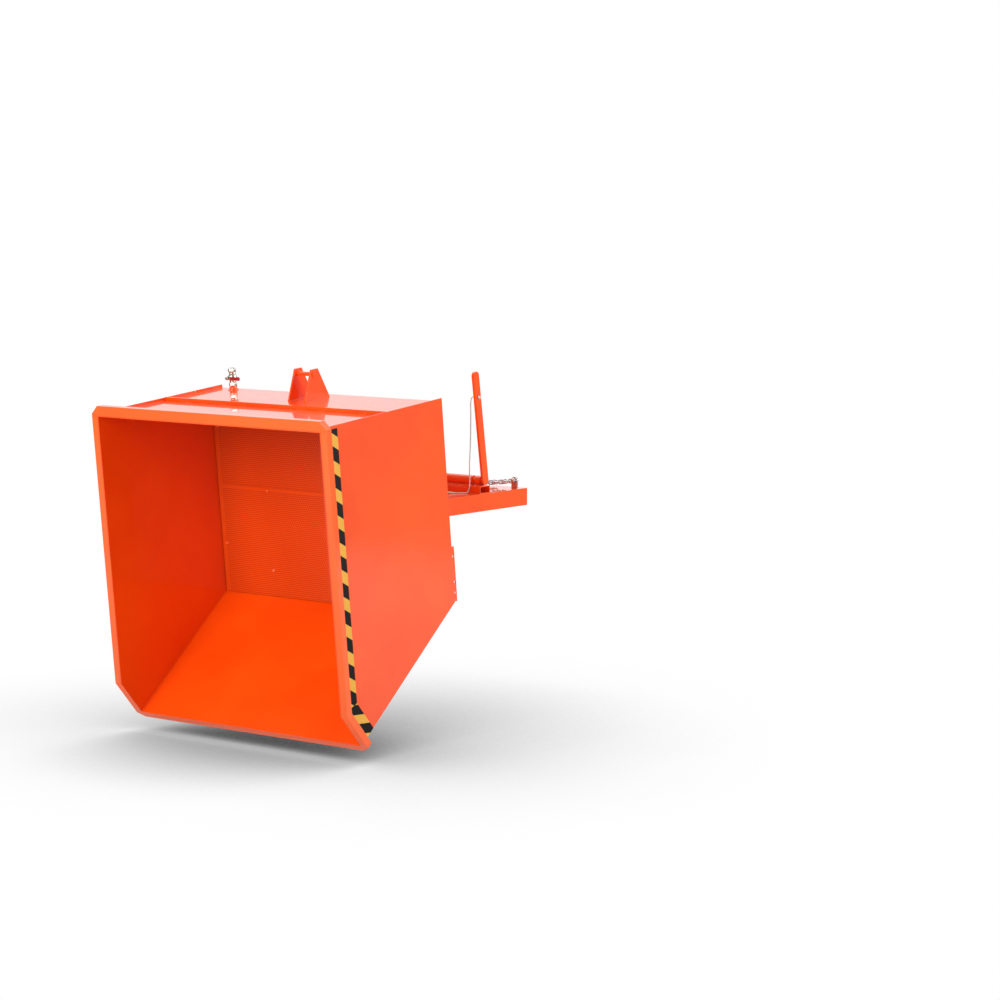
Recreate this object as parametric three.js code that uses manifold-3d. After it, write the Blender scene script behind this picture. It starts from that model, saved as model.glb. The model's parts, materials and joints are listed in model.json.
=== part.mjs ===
// Self dumping hopper: an open tub hinged at the front of a base frame with two fork pockets.
// Millimetres, +Z up. The tub is shown tipped out, its opening towards -Y. The pockets are
// entered from +Y. The origin lies midway between them, at the underside of their entry ends.
import * as THREE from 'three';
import { mergeVertices } from 'three/addons/utils/BufferGeometryUtils.js';
import Module from 'manifold-3d';

const wasm = await Module();
wasm.setup();

// Driving dimensions of the tub, measured upright from its hinge axis
const tubWidth = 1300;
const tubDepth = 757;
const hingeToRearEdge = 445;
const hingeToUnderside = 52;
const bottomLength = 859;
const lipReach = 1314.5;
const lipDrop = 107.1;
const kinkLength = 150.5;
const tubWall = 4;
const tipAngle = THREE.MathUtils.degToRad(95.7);

// Driving dimensions of the base frame
const frameWidth = 650;
const pocketLength = 880;
const pocketWidth = 170;
const pocketHeight = 76;
const pocketWall = 5;
const hingeSetback = 19;
const hingeHeight = 110;

// Clearances
const seatGap = 0.3;
const overrun = 2;

// Rim, stiffener and tape of the tub
const rimSideWidth = 32;
const rimRearWidth = 41.7;
const rimDepth = 30;
const rimWall = 3;
const rimCornerCut = 34;
const rearWallInset = 13;
const lipRimWidth = 28;
const lipCornerCut = [38, 22];
const stiffenerHeight = 350;
const stiffenerDepth = 15;
const stiffenerWidth = 8;
const tapeWidth = 58;
const tapeThickness = 0.8;
const tapeBelowRim = 11;

// False floor of perforated sheet over the sump
const sumpHeight = 70;
const floorSheet = 3;
const floorSeam = 0.6;
const seamFromHinge = 20;
const floorEdgeGap = 3;
const bearerWidth = 8;
const bearerShares = [0.1327, 0.8312];
const screwHeadRadius = 10;
const screwHeadHeight = 3.5;
const rearScrewShares = [[-0.953, 0.632], [0.953, 0.632]];
const frontScrewShares = [
  [-0.953, 0.549], [-0.525, 0.0286], [-0.525, 0.765], [0.525, 0.0286], [0.525, 0.765], [0.953, 0.549],
];

// Side plates with three holes under the front of the bottom
const footLength = 232;
const footDrop = 20;
const footPlate = 6;
const footHoleRadius = 6;
const footHoleShares = [0.156, 0.353, 0.824];
const footHoleDrop = 12;

// Hinge
const hingeShaftRadius = 15;
const hingeRunning = 0.3;
const hingeLugPlace = 240;
const hingeLugWidth = 12;
const hingeLugRadius = 28;
const hingeLugFoot = 64;
const hingePad = 6;
const hingePadWidth = 150;
const hingePadLength = 130;
const earSpacing = 40;
const earWidth = 10;
const earRadius = 30;
const earFoot = 60;
const nutRadius = 24;
const nutWidth = 14;

// Cross tubes, rest pads, tip stops and tie plate of the frame
const boxTubeWall = 4;
const frontTubeLength = 60;
const crossTubeHeight = 60;
const crossTubeLift = 8;
const rearTubeLength = 60;
const rearTubePlace = -120;
const restTubeLength = 60;
const restTubeHeight = 50;
const restTubePlace = -600;
const restPadRadius = 28;
const restPadPlace = 240;
const tipStopWidth = 60;
const tipStopPlace = 95;
const tipStopHeight = 50;
const tiePlateThickness = 5;
const tiePlateWidth = 400;
const tiePlateFront = -569.7;
const tiePlateRear = -420;

// Latch: cross tube, shaft in sleeves, lever, hook and the catch on the tub
const latchTubeLength = 70;
const latchTubeHeight = 34;
const latchTubeRear = -266;
const latchShaftPlace = -277;
const latchShaftRadius = 12.5;
const sleeveRadius = 19.7;
const sleeveShares = [[-0.492, -0.131], [0.131, 0.807], [0.859, 0.951]];
const collarRadius = 18;
const collarWidth = 10;
const latchLean = THREE.MathUtils.degToRad(8.2);
const latchTravel = THREE.MathUtils.degToRad(6.3);
const leverPlace = 305;
const leverWidth = 38;
const leverThickness = 12;
const leverLength = 484;
const cordHolePlace = 371.6;
const cordHoleRadius = 4;
const hookThickness = 20;
const hookShank = 24;
const hookGap = 1.5;
const hookHold = 12;
const hookCrown = 36;
const hookLead = 14;
const catchPinReach = 108;
const catchPinHeight = 138;
const catchPinRadius = 9;
const catchPinHead = 13;
const catchPinHeadWidth = 4;
const catchPlatePlace = 45;
const catchPlateWidth = 8;
const catchPlateFoot = [48, 205];
const catchPlateTip = [111, 152];
const catchPlateReach = 129;

// Drain with a ball valve
const drainFromSide = 102;
const drainHeight = 39;
const drainBore = 11;
const drainFlareRadius = 23;
const drainPipeRadius = 17;
const drainLength = 16;
const valveLength = 78;
const valveEndRadius = 18;
const valveBallRadius = 20;
const valveEndLength = 20;
const valveMouthDepth = 26;
const valveStemRadius = 6;
const valveStemHeight = 12;
const valveHandleLength = 82;
const valveHandleWidth = 16;
const valveHandleThickness = 4;
const valveNutRadius = 8;
const valveNutHeight = 6;

// Safety chain, stowed between two eyes at the rear of the frame
const chainWire = 6;
const chainPitch = 27;
const chainLinkWidth = 22;
const chainFuse = 1;
const chainSag = 24;
const eyeInset = 35;
const eyePlace = -45;
const eyeThickness = 8;
const eyeRadius = 16;
const eyeHeight = 34;
const eyeBoltRadius = 4;
const eyeBoltHead = 8;
const eyeBoltHeadWidth = 5;
const eyeStrandGap = 5;
const eyeRunning = 0.6;

// Release cord: a free stretch from the lever to the tie plate, and its coil
const cordRadius = 2.5;
const cordKnotRadius = 6;
const coilTurns = 10;
const coilInner = 15;
const coilPitch = 5.6;
const coilCentreX = 60;
const coilCentreY = -495;
const coilStepsPerTurn = 24;
const coilSides = 6;
const coilTail = 28;
const coilTieThickness = 1;
const coilTieWidth = 8;

// Colours
const orange = 0xf2541b;
const deepRed = 0x8c1408;
const nickel = 0xb9b7b0;
const zinc = 0xb8bcc0;
const darkSteel = 0x55585c;
const blackRubber = 0x1b1b1c;
const hazardYellow = 0xf0b838;
const cordWhite = 0xd9d8d2;
const tieBlack = 0x202022;

// Derived places: the frame
const halfFrame = frameWidth / 2;
const pocketInnerSide = halfFrame - pocketWidth;
const pocketFront = -pocketLength;
const hingePlace = pocketFront + hingeSetback;
const latchTubeFront = latchTubeRear - latchTubeLength;
const latchTubeTop = pocketHeight + latchTubeHeight;
const latchShaftHeight = latchTubeTop + seatGap + sleeveRadius;

// Derived places: the tub, upright, from the hinge axis
const halfTub = tubWidth / 2;
const panelOuter = halfTub - rimSideWidth;
const panelInner = panelOuter - tubWall;
const insideHalf = panelInner - seatGap;
const underside = hingeToUnderside;
const rimTop = underside + tubDepth;
const rearFace = hingeToRearEdge - rearWallInset;
const frontCorner = hingeToRearEdge - bottomLength;
const lip = new THREE.Vector2(hingeToRearEdge - lipReach, rimTop - lipDrop);
const kink = new THREE.Vector2(lip.x + kinkLength, rimTop);
const slopeDirection = new THREE.Vector2(lip.x - frontCorner, lip.y - underside).normalize();
const slopeNormal = new THREE.Vector2(slopeDirection.y, -slopeDirection.x);
const lipRise = new THREE.Vector2().subVectors(kink, lip).normalize();
const floorTop = underside + tubWall + seatGap + sumpHeight + seatGap + floorSheet;

const drainPlace = -(panelInner - drainFromSide);

const slopeAt = (height) => frontCorner + (height - underside) * slopeDirection.x / slopeDirection.y;

const root = new THREE.Group();
const tub = new THREE.Group();
tub.position.set(0, hingePlace, hingeHeight);
tub.rotation.x = tipAngle;
root.add(tub);
const latch = new THREE.Group();
latch.position.set(0, latchShaftPlace, latchShaftHeight);
latch.rotation.x = latchLean;
root.add(latch);

const paints = {
  paint: { color: orange, roughness: 0.28, metalness: 0 },
  redPaint: { color: deepRed, roughness: 0.4, metalness: 0 },
  nickel: { color: nickel, roughness: 0.3, metalness: 1 },
  zinc: { color: zinc, roughness: 0.35, metalness: 1 },
  steel: { color: darkSteel, roughness: 0.45, metalness: 1 },
  rubber: { color: blackRubber, roughness: 0.85, metalness: 0 },
  tape: { color: hazardYellow, roughness: 0.5, metalness: 0 },
  cord: { color: cordWhite, roughness: 0.8, metalness: 0 },
  tie: { color: tieBlack, roughness: 0.6, metalness: 0 },
};

function add(parent, name, geometry, paint) {
  const mesh = new THREE.Mesh(geometry, new THREE.MeshStandardMaterial(paints[paint]));
  mesh.name = name;
  parent.add(mesh);
  return mesh;
}

// Solids and their cuts
function bare(geometry) {
  const copy = geometry.clone();
  copy.deleteAttribute('normal');
  copy.deleteAttribute('uv');
  return mergeVertices(copy);
}

function solid(geometry) {
  const plain = bare(geometry);
  const vertProperties = new Float32Array(plain.attributes.position.array);
  const triVerts = new Uint32Array(plain.index.array);
  return new wasm.Manifold(new wasm.Mesh({ numProp: 3, vertProperties, triVerts }));
}

function geometryOf(manifold) {
  const mesh = manifold.getMesh();
  const geometry = new THREE.BufferGeometry();
  geometry.setAttribute('position', new THREE.BufferAttribute(mesh.vertProperties, 3));
  geometry.setIndex(new THREE.BufferAttribute(mesh.triVerts, 1));
  return geometry;
}

function cut(geometry, ...cutters) {
  return geometryOf(cutters.reduce((whole, cutter) => whole.subtract(solid(cutter)), solid(geometry)));
}

function join(...geometries) {
  return geometryOf(geometries.map(solid).reduce((whole, piece) => whole.add(piece)));
}

// Basic forms
function block(x, y, z) {
  const geometry = new THREE.BoxGeometry(x[1] - x[0], y[1] - y[0], z[1] - z[0]);
  return geometry.translate((x[0] + x[1]) / 2, (y[0] + y[1]) / 2, (z[0] + z[1]) / 2);
}

function outline(points) {
  return new THREE.Shape(points.map(([a, b]) => new THREE.Vector2(a, b)));
}

function roundHole(a, b, radius) {
  const hole = new THREE.Path();
  hole.absarc(a, b, radius, 0, 2 * Math.PI, true);
  return hole;
}

function withHoles(shape, ...holes) {
  shape.holes.push(...holes);
  return shape;
}

const alongX = new THREE.Matrix4().makeBasis(
  new THREE.Vector3(0, 1, 0), new THREE.Vector3(0, 0, 1), new THREE.Vector3(1, 0, 0));
const alongY = new THREE.Matrix4().makeBasis(
  new THREE.Vector3(0, 0, 1), new THREE.Vector3(1, 0, 0), new THREE.Vector3(0, 1, 0));

function drawnOut(shape, span, curveSegments) {
  const depth = span[1] - span[0];
  return new THREE.ExtrudeGeometry(shape, { depth, bevelEnabled: false, curveSegments });
}

// A (Y, Z) shape drawn out along X, a (Z, X) shape along Y and an (X, Y) shape along Z
function plateX(shape, x, curveSegments = 12) {
  return drawnOut(shape, x, curveSegments).applyMatrix4(alongX).translate(x[0], 0, 0);
}

function plateY(shape, y, curveSegments = 12) {
  return drawnOut(shape, y, curveSegments).applyMatrix4(alongY).translate(0, y[0], 0);
}

function plateZ(shape, z, curveSegments = 12) {
  return drawnOut(shape, z, curveSegments).translate(0, 0, z[0]);
}

function rectangle(a, b) {
  return outline([[a[0], b[0]], [a[1], b[0]], [a[1], b[1]], [a[0], b[1]]]);
}

function disc(a, b, radius) {
  const shape = new THREE.Shape();
  shape.absarc(a, b, radius, 0, 2 * Math.PI, false);
  return shape;
}

function boxTubeX(x, y, z, wall) {
  const bore = rectangle([y[0] + wall, y[1] - wall], [z[0] + wall, z[1] - wall]);
  return plateX(withHoles(rectangle(y, z), bore), x);
}

function rodX(x, y, z, radius, segments = 10) {
  return plateX(disc(y, z, radius), x, segments);
}

function ringX(x, y, z, radius, bore, segments = 10) {
  return plateX(withHoles(disc(y, z, radius), roundHole(y, z, bore)), x, segments);
}

// A round piece turned about the line along +Y, from [radius, place] pairs
function turnedY(profile, x, z, segments = 20) {
  const points = profile.map(([radius, place]) => new THREE.Vector2(radius, place));
  return new THREE.LatheGeometry(points, segments).translate(x, 0, z);
}

// The line at a depth below a path, mitred where the path bends
function lineBelow(path, depth) {
  const normals = path.slice(1).map((point, index) => {
    const step = new THREE.Vector2().subVectors(point, path[index]).normalize();
    return new THREE.Vector2(-step.y, step.x);
  });
  return path.map((point, index) => {
    const before = normals[Math.max(index - 1, 0)];
    const after = normals[Math.min(index, normals.length - 1)];
    const middle = new THREE.Vector2().addVectors(before, after).normalize();
    return point.clone().addScaledVector(middle, depth / middle.dot(after));
  });
}

function strip(path, near, far) {
  return new THREE.Shape([...lineBelow(path, near), ...lineBelow(path, far).reverse()]);
}

// A bar along a (Y, Z) path, mitred at its bends, from a section of [x, depth] pairs
function barBelow(path, section) {
  const contour = section.map(([x, depth]) => new THREE.Vector2(x, depth));
  if (THREE.ShapeUtils.isClockWise(contour)) return barBelow(path, section.slice().reverse());
  const lines = section.map(([x, depth]) => lineBelow(path, depth).map((p) => [x, p.x, p.y]));
  const positions = path.flatMap((point, station) => lines.flatMap((line) => line[station]));
  const count = section.length;
  const triangles = [];
  for (let station = 0; station < path.length - 1; station += 1) {
    for (let corner = 0; corner < count; corner += 1) {
      const here = station * count + corner;
      const beside = station * count + (corner + 1) % count;
      triangles.push([here, beside + count, beside]);
      triangles.push([here, here + count, beside + count]);
    }
  }
  const last = (path.length - 1) * count;
  THREE.ShapeUtils.triangulateShape(contour, []).forEach(([a, b, c]) => {
    triangles.push([a, b, c]);
    triangles.push([last + c, last + b, last + a]);
  });
  const geometry = new THREE.BufferGeometry();
  geometry.setAttribute('position', new THREE.Float32BufferAttribute(positions, 3));
  geometry.setIndex(triangles.flat());
  return geometry;
}

// The tub
const rimUnder = rimTop - rimDepth;

function sidePanel(side) {
  const shape = outline([
    [frontCorner, underside],
    [hingeToRearEdge, underside],
    [hingeToRearEdge, rimUnder - seatGap],
    [rearFace, rimUnder - seatGap],
    [rearFace, rimTop],
    [kink.x, rimTop],
    [lip.x, lip.y],
  ]);
  return plateX(shape, side > 0 ? [panelInner, panelOuter] : [-panelOuter, -panelInner]);
}

function rearWall() {
  const wall = block([-insideHalf, insideHalf], [rearFace - tubWall, rearFace], [underside, rimTop]);
  const hole = new THREE.CylinderGeometry(drainBore, drainBore, tubWall + overrun, 20);
  hole.translate(drainPlace, rearFace - tubWall / 2, underside + drainHeight);
  return cut(wall, hole);
}

function bottomPlate() {
  const shape = outline([
    [frontCorner, underside],
    [rearFace - tubWall - seatGap, underside],
    [rearFace - tubWall - seatGap, underside + tubWall],
    [slopeAt(underside + tubWall), underside + tubWall],
  ]);
  return plateX(shape, [-insideHalf, insideHalf]);
}

function frontSlope() {
  const low = underside + tubWall + seatGap;
  const acrossWall = tubWall / slopeDirection.y;
  const shape = new THREE.Shape([
    new THREE.Vector2(slopeAt(low), low),
    new THREE.Vector2(slopeAt(low) + acrossWall, low),
    lip.clone().addScaledVector(lipRise, tubWall / lipRise.dot(slopeNormal)),
    lip.clone(),
  ]);
  return plateX(shape, [-insideHalf, insideHalf]);
}

// The side rims are channels, open below, that follow the top edge down to the lip
function sideRim(side) {
  const inner = panelOuter + seatGap;
  const section = [
    [inner, 0],
    [inner, rimDepth],
    [inner + rimWall, rimDepth],
    [inner + rimWall, rimWall],
    [halfTub - rimWall, rimWall],
    [halfTub - rimWall, rimDepth],
    [halfTub, rimDepth],
    [halfTub, 0],
  ].map(([x, depth]) => [side * x, depth]);
  return barBelow([new THREE.Vector2(rearFace, rimTop), kink, lip], section);
}

// The rear rim and the lip are channels across the tub with their two outer corners cut off.
// Each is drawn lying flat: X across, Y outwards from the sheet it borders, its top at Z = 0.
function endRim(width, [cutAcross, cutOut]) {
  const slant = Math.hypot(cutAcross, cutOut);
  const around = (inset) => {
    const half = halfTub - inset;
    const across = halfTub - cutAcross + inset * (cutAcross - slant) / cutOut;
    const out = width - cutOut + inset * (cutOut - slant) / cutAcross;
    return outline([
      [-half, inset],
      [half, inset],
      [half, out],
      [across, width - inset],
      [-across, width - inset],
      [-half, out],
    ]);
  };
  const outer = plateZ(around(0), [-rimDepth, 0]);
  const hollow = plateZ(around(rimWall), [-rimDepth - overrun, -rimWall]);
  return cut(outer, hollow);
}

function rearRim() {
  return endRim(rimRearWidth, [rimCornerCut, rimCornerCut]).translate(0, rearFace + seatGap, rimTop);
}

function lipRim() {
  const out = lipRise.clone().negate();
  const start = lip.clone().addScaledVector(out, seatGap);
  const turned = new THREE.Matrix4().makeBasis(
    new THREE.Vector3(-1, 0, 0), new THREE.Vector3(0, out.x, out.y), new THREE.Vector3(0, out.y, -out.x));
  return endRim(lipRimWidth, lipCornerCut).applyMatrix4(turned).translate(0, start.x, start.y);
}

function stiffener() {
  const low = underside + stiffenerHeight;
  const base = rearFace + seatGap;
  return block([-insideHalf, insideHalf], [base, base + stiffenerDepth], [low, low + stiffenerWidth]);
}

// A panel of the false floor, from the seam to its far edge, with its screw heads
function floorPanel(seamEdge, farEdge, screwShares) {
  const halfPanel = insideHalf - floorEdgeGap;
  const y = [Math.min(seamEdge, farEdge), Math.max(seamEdge, farEdge)];
  const plate = block([-halfPanel, halfPanel], y, [floorTop - floorSheet, floorTop]);
  const crown = screwHeadRadius / Math.SQRT2;
  const heads = screwShares.map(([acrossShare, alongShare]) => {
    const head = new THREE.CylinderGeometry(crown, screwHeadRadius, screwHeadHeight, 12);
    head.rotateX(Math.PI / 2);
    const place = THREE.MathUtils.lerp(seamEdge, farEdge, alongShare);
    return head.translate(acrossShare * insideHalf, place, floorTop + screwHeadHeight / 2);
  });
  return join(plate, ...heads);
}

function floorBearer(place) {
  const low = underside + tubWall + seatGap;
  const y = [place - bearerWidth / 2, place + bearerWidth / 2];
  return block([-insideHalf, insideHalf], y, [low, low + sumpHeight]);
}

function footPlateOf(side) {
  const top = underside - seatGap;
  const shape = rectangle([frontCorner, frontCorner + footLength], [top - footDrop, top]);
  const holes = footHoleShares.map((share) => (
    roundHole(frontCorner + share * footLength, underside - footHoleDrop, footHoleRadius)));
  const x = side > 0 ? [insideHalf - footPlate, insideHalf] : [-insideHalf, -insideHalf + footPlate];
  return plateX(withHoles(shape, ...holes), x, 6);
}

function hazardTape(side) {
  const path = [new THREE.Vector2(rearFace, rimTop), kink, lip];
  const near = rimDepth + tapeBelowRim;
  const low = panelOuter + seatGap;
  const x = side > 0 ? [low, low + tapeThickness] : [-low - tapeThickness, -low];
  return plateX(strip(path, near, near + tapeWidth), x);
}

function tubLug(side) {
  const padUnder = underside - seatGap - hingePad;
  const reach = Math.sqrt(padUnder ** 2 + (hingeLugFoot / 2) ** 2);
  const touch = Math.acos(hingeLugRadius / reach);
  const footAngle = Math.atan2(padUnder, hingeLugFoot / 2);
  const shape = new THREE.Shape();
  shape.moveTo(hingeLugFoot / 2, padUnder + overrun);
  shape.lineTo(-hingeLugFoot / 2, padUnder + overrun);
  shape.lineTo(-hingeLugFoot / 2, padUnder);
  shape.absarc(0, 0, hingeLugRadius, Math.PI - footAngle + touch, 2 * Math.PI + footAngle - touch, false);
  shape.lineTo(hingeLugFoot / 2, padUnder);
  const bore = roundHole(0, 0, hingeShaftRadius + hingeRunning);
  const middle = side * hingeLugPlace;
  const span = [middle - hingeLugWidth / 2, middle + hingeLugWidth / 2];
  const plate = plateX(withHoles(shape, bore), span, 16);
  const pad = block(
    [middle - hingePadWidth / 2, middle + hingePadWidth / 2],
    [-hingePadLength / 2, hingePadLength / 2],
    [padUnder, underside - seatGap]);
  return join(plate, pad);
}

const catchPinY = rearFace + catchPinReach;
const catchPinZ = underside + catchPinHeight;

function catchPlate(side) {
  const base = rearFace + seatGap;
  const tip = rearFace + catchPlateReach;
  const shape = outline([
    [base, underside + catchPlateFoot[0]],
    [tip, underside + catchPlateTip[0]],
    [tip, underside + catchPlateTip[1]],
    [base, underside + catchPlateFoot[1]],
  ]);
  const middle = side * catchPlatePlace;
  const hole = roundHole(catchPinY, catchPinZ, catchPinRadius + seatGap);
  return plateX(withHoles(shape, hole), [middle - catchPlateWidth / 2, middle + catchPlateWidth / 2]);
}

function catchPin() {
  const shoulder = catchPlatePlace + catchPlateWidth / 2 + seatGap;
  const end = shoulder + catchPinHeadWidth;
  const rod = rodX([-end, end], catchPinY, catchPinZ, catchPinRadius);
  const headSpans = [[shoulder, end], [-end, -shoulder]];
  const heads = headSpans.map((x) => rodX(x, catchPinY, catchPinZ, catchPinHead));
  return join(rod, ...heads);
}

add(tub, 'side_panel_left', sidePanel(-1), 'paint');
add(tub, 'side_panel_right', sidePanel(1), 'paint');
add(tub, 'rear_wall', rearWall(), 'paint');
add(tub, 'bottom_plate', bottomPlate(), 'paint');
add(tub, 'front_slope', frontSlope(), 'paint');
add(tub, 'rim_lip', lipRim(), 'paint');
add(tub, 'rim_left', sideRim(-1), 'paint');
add(tub, 'rim_right', sideRim(1), 'paint');
add(tub, 'rim_rear', rearRim(), 'paint');
add(tub, 'rear_stiffener', stiffener(), 'paint');
const floorRear = rearFace - tubWall - floorEdgeGap;
const floorFront = slopeAt(floorTop - floorSheet) + tubWall / slopeDirection.y + floorEdgeGap;
const floorRearPanel = floorPanel(seamFromHinge + floorSeam / 2, floorRear, rearScrewShares);
const floorFrontPanel = floorPanel(seamFromHinge - floorSeam / 2, floorFront, frontScrewShares);
add(tub, 'perforated_floor_rear', floorRearPanel, 'paint');
add(tub, 'perforated_floor_front', floorFrontPanel, 'paint');
bearerShares.forEach((share, index) => {
  const bearer = floorBearer(frontCorner + share * bottomLength);
  add(tub, `floor_bearer_${index + 1}`, bearer, 'paint');
});
[[-1, 'left'], [1, 'right']].forEach(([side, word]) => {
  add(tub, `foot_plate_${word}`, footPlateOf(side), 'paint');
  add(tub, `hazard_tape_${word}`, hazardTape(side), 'tape');
  add(tub, `hinge_lug_${word}`, tubLug(side), 'paint');
  add(tub, `catch_plate_${word}`, catchPlate(side), 'paint');
});
add(tub, 'catch_pin', catchPin(), 'paint');

// The drain: a flared pipe on the rear wall, a ball valve and its handle
const drainZ = underside + drainHeight;
const valveFrom = rearFace + seatGap + drainLength + seatGap;
const valveMiddle = valveFrom + valveLength / 2;

function drainPipe() {
  const from = rearFace + seatGap;
  const to = from + drainLength;
  return turnedY([
    [drainBore, from],
    [drainFlareRadius, from],
    [drainPipeRadius, from + drainLength / 2],
    [drainPipeRadius, to],
    [drainBore, to],
    [drainBore, from],
  ], drainPlace, drainZ);
}

function valveBody() {
  const to = valveFrom + valveLength;
  const body = turnedY([
    [0, valveFrom],
    [valveEndRadius, valveFrom],
    [valveEndRadius, valveFrom + valveEndLength],
    [valveBallRadius, valveMiddle - valveStemHeight],
    [valveBallRadius, valveMiddle + valveStemHeight],
    [valveEndRadius, to - valveEndLength],
    [valveEndRadius, to],
    [drainBore, to],
    [drainBore, to - valveMouthDepth],
    [0, to - valveMouthDepth],
  ], drainPlace, drainZ);
  const stemLow = drainZ + valveStemRadius;
  const stemTop = drainZ + valveBallRadius + valveStemHeight;
  const stem = plateZ(disc(drainPlace, valveMiddle, valveStemRadius), [stemLow, stemTop]);
  return join(body, stem);
}

function valveHandle() {
  const low = drainZ + valveBallRadius + valveStemHeight + seatGap;
  const half = valveHandleWidth / 2;
  const end = drainPlace + valveHandleLength - half;
  const shape = new THREE.Shape();
  shape.absarc(drainPlace, valveMiddle, half, Math.PI / 2, 3 * Math.PI / 2, false);
  shape.absarc(end, valveMiddle, half, -Math.PI / 2, Math.PI / 2, false);
  const top = low + valveHandleThickness;
  const plate = plateZ(shape, [low, top], 8);
  const nut = plateZ(disc(drainPlace, valveMiddle, valveNutRadius), [low, top + valveNutHeight], 3);
  return join(plate, nut);
}

add(tub, 'drain_pipe', drainPipe(), 'paint');
add(tub, 'valve_body', valveBody(), 'nickel');
add(tub, 'valve_handle', valveHandle(), 'redPaint');

// The base frame
function forkPocket(side) {
  const x = side > 0 ? [pocketInnerSide, halfFrame] : [-halfFrame, -pocketInnerSide];
  const bore = rectangle([pocketWall, pocketHeight - pocketWall], [x[0] + pocketWall, x[1] - pocketWall]);
  return plateY(withHoles(rectangle([0, pocketHeight], x), bore), [pocketFront, 0]);
}

const betweenPockets = [-pocketInnerSide, pocketInnerSide];
const crossTubeZ = [crossTubeLift, crossTubeLift + crossTubeHeight];
const frontTubeY = [pocketFront, pocketFront + frontTubeLength];

// A tip stop fills the space between the front tube and the tipped underside of the tub
function tipStop(side) {
  const undersideAt = (height) => {
    const along = (height - hingeHeight - underside * Math.cos(tipAngle)) / Math.sin(tipAngle);
    return hingePlace + along * Math.cos(tipAngle) - underside * Math.sin(tipAngle);
  };
  const middle = (crossTubeZ[0] + crossTubeZ[1]) / 2;
  const low = middle - tipStopHeight / 2;
  const high = middle + tipStopHeight / 2;
  const front = pocketFront - seatGap;
  const shape = outline([
    [front, low],
    [front, high],
    [undersideAt(high) + seatGap, high],
    [undersideAt(low) + seatGap, low],
  ]);
  const centre = side * tipStopPlace;
  return plateX(shape, [centre - tipStopWidth / 2, centre + tipStopWidth / 2]);
}

const restTubeTop = pocketHeight + restTubeHeight;

function restPad(side) {
  const top = hingeHeight + underside - seatGap;
  return plateZ(disc(side * restPadPlace, restTubePlace, restPadRadius), [restTubeTop, top], 10);
}

function hingeEar(place) {
  const low = pocketHeight - hingeHeight;
  const shape = new THREE.Shape();
  shape.moveTo(-hingeSetback, low);
  shape.lineTo(earFoot, low);
  shape.absarc(0, 0, earRadius, Math.PI / 6, Math.PI, false);
  shape.lineTo(-hingeSetback, low / 2);
  const bore = roundHole(0, 0, hingeShaftRadius + hingeRunning);
  const plate = plateX(withHoles(shape, bore), [place - earWidth / 2, place + earWidth / 2], 12);
  return plate.translate(0, hingePlace, hingeHeight);
}

function crossTube(x, y, z) {
  return boxTubeX(x, y, z, boxTubeWall);
}

add(root, 'fork_pocket_left', forkPocket(-1), 'paint');
add(root, 'fork_pocket_right', forkPocket(1), 'paint');
add(root, 'front_cross_tube', crossTube(betweenPockets, frontTubeY, crossTubeZ), 'paint');
const rearTubeY = [rearTubePlace - rearTubeLength / 2, rearTubePlace + rearTubeLength / 2];
add(root, 'rear_cross_tube', crossTube(betweenPockets, rearTubeY, crossTubeZ), 'paint');
const acrossPockets = [-halfFrame, halfFrame];
const restTubeY = [restTubePlace - restTubeLength / 2, restTubePlace + restTubeLength / 2];
add(root, 'rest_cross_tube', crossTube(acrossPockets, restTubeY, [pocketHeight, restTubeTop]), 'paint');
const latchTubeY = [latchTubeFront, latchTubeRear];
add(root, 'latch_cross_tube', crossTube(acrossPockets, latchTubeY, [pocketHeight, latchTubeTop]), 'paint');
const tieTop = pocketHeight + tiePlateThickness;
const tiePlateX = [-tiePlateWidth / 2, tiePlateWidth / 2];
add(root, 'tie_plate', block(tiePlateX, [tiePlateFront, tiePlateRear], [pocketHeight, tieTop]), 'paint');

const shaftEnd = hingeLugPlace + earSpacing + earWidth / 2 + seatGap + nutWidth;
const hingeShaft = rodX([-shaftEnd, shaftEnd], hingePlace, hingeHeight, hingeShaftRadius, 16);
add(root, 'hinge_shaft', hingeShaft, 'steel');
[[-1, 'left'], [1, 'right']].forEach(([side, word]) => {
  add(root, `rest_pad_${word}`, restPad(side), 'rubber');
  add(root, `tip_stop_${word}`, tipStop(side), 'rubber');
  add(root, `hinge_ear_inner_${word}`, hingeEar(side * (hingeLugPlace - earSpacing)), 'paint');
  add(root, `hinge_ear_outer_${word}`, hingeEar(side * (hingeLugPlace + earSpacing)), 'paint');
  const nutFrom = side * (shaftEnd - nutWidth);
  const nutTo = side * shaftEnd;
  const span = side > 0 ? [nutFrom, nutTo] : [nutTo, nutFrom];
  const nut = ringX(span, hingePlace, hingeHeight, nutRadius, hingeShaftRadius + seatGap);
  add(root, `hinge_nut_${word}`, nut, 'zinc');
});

const sleeveSpans = sleeveShares.map((span) => span.map((share) => share * leverPlace));
sleeveSpans.forEach((span, index) => {
  const bore = latchShaftRadius + hingeRunning;
  const sleeve = ringX(span, latchShaftPlace, latchShaftHeight, sleeveRadius, bore);
  add(root, `latch_sleeve_${index + 1}`, sleeve, 'paint');
});

// The latch turns on its shaft: lever, hook and end collar move with it
function releaseLever() {
  const half = leverWidth / 2;
  const shape = new THREE.Shape();
  shape.absarc(0, 0, half, Math.PI, 2 * Math.PI, false);
  shape.absarc(0, leverLength - half, half, 0, Math.PI, false);
  const bores = [roundHole(0, 0, latchShaftRadius + seatGap), roundHole(0, cordHolePlace, cordHoleRadius)];
  const x = [leverPlace - leverThickness / 2, leverPlace + leverThickness / 2];
  return plateX(withHoles(shape, ...bores), x, 10);
}

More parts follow.
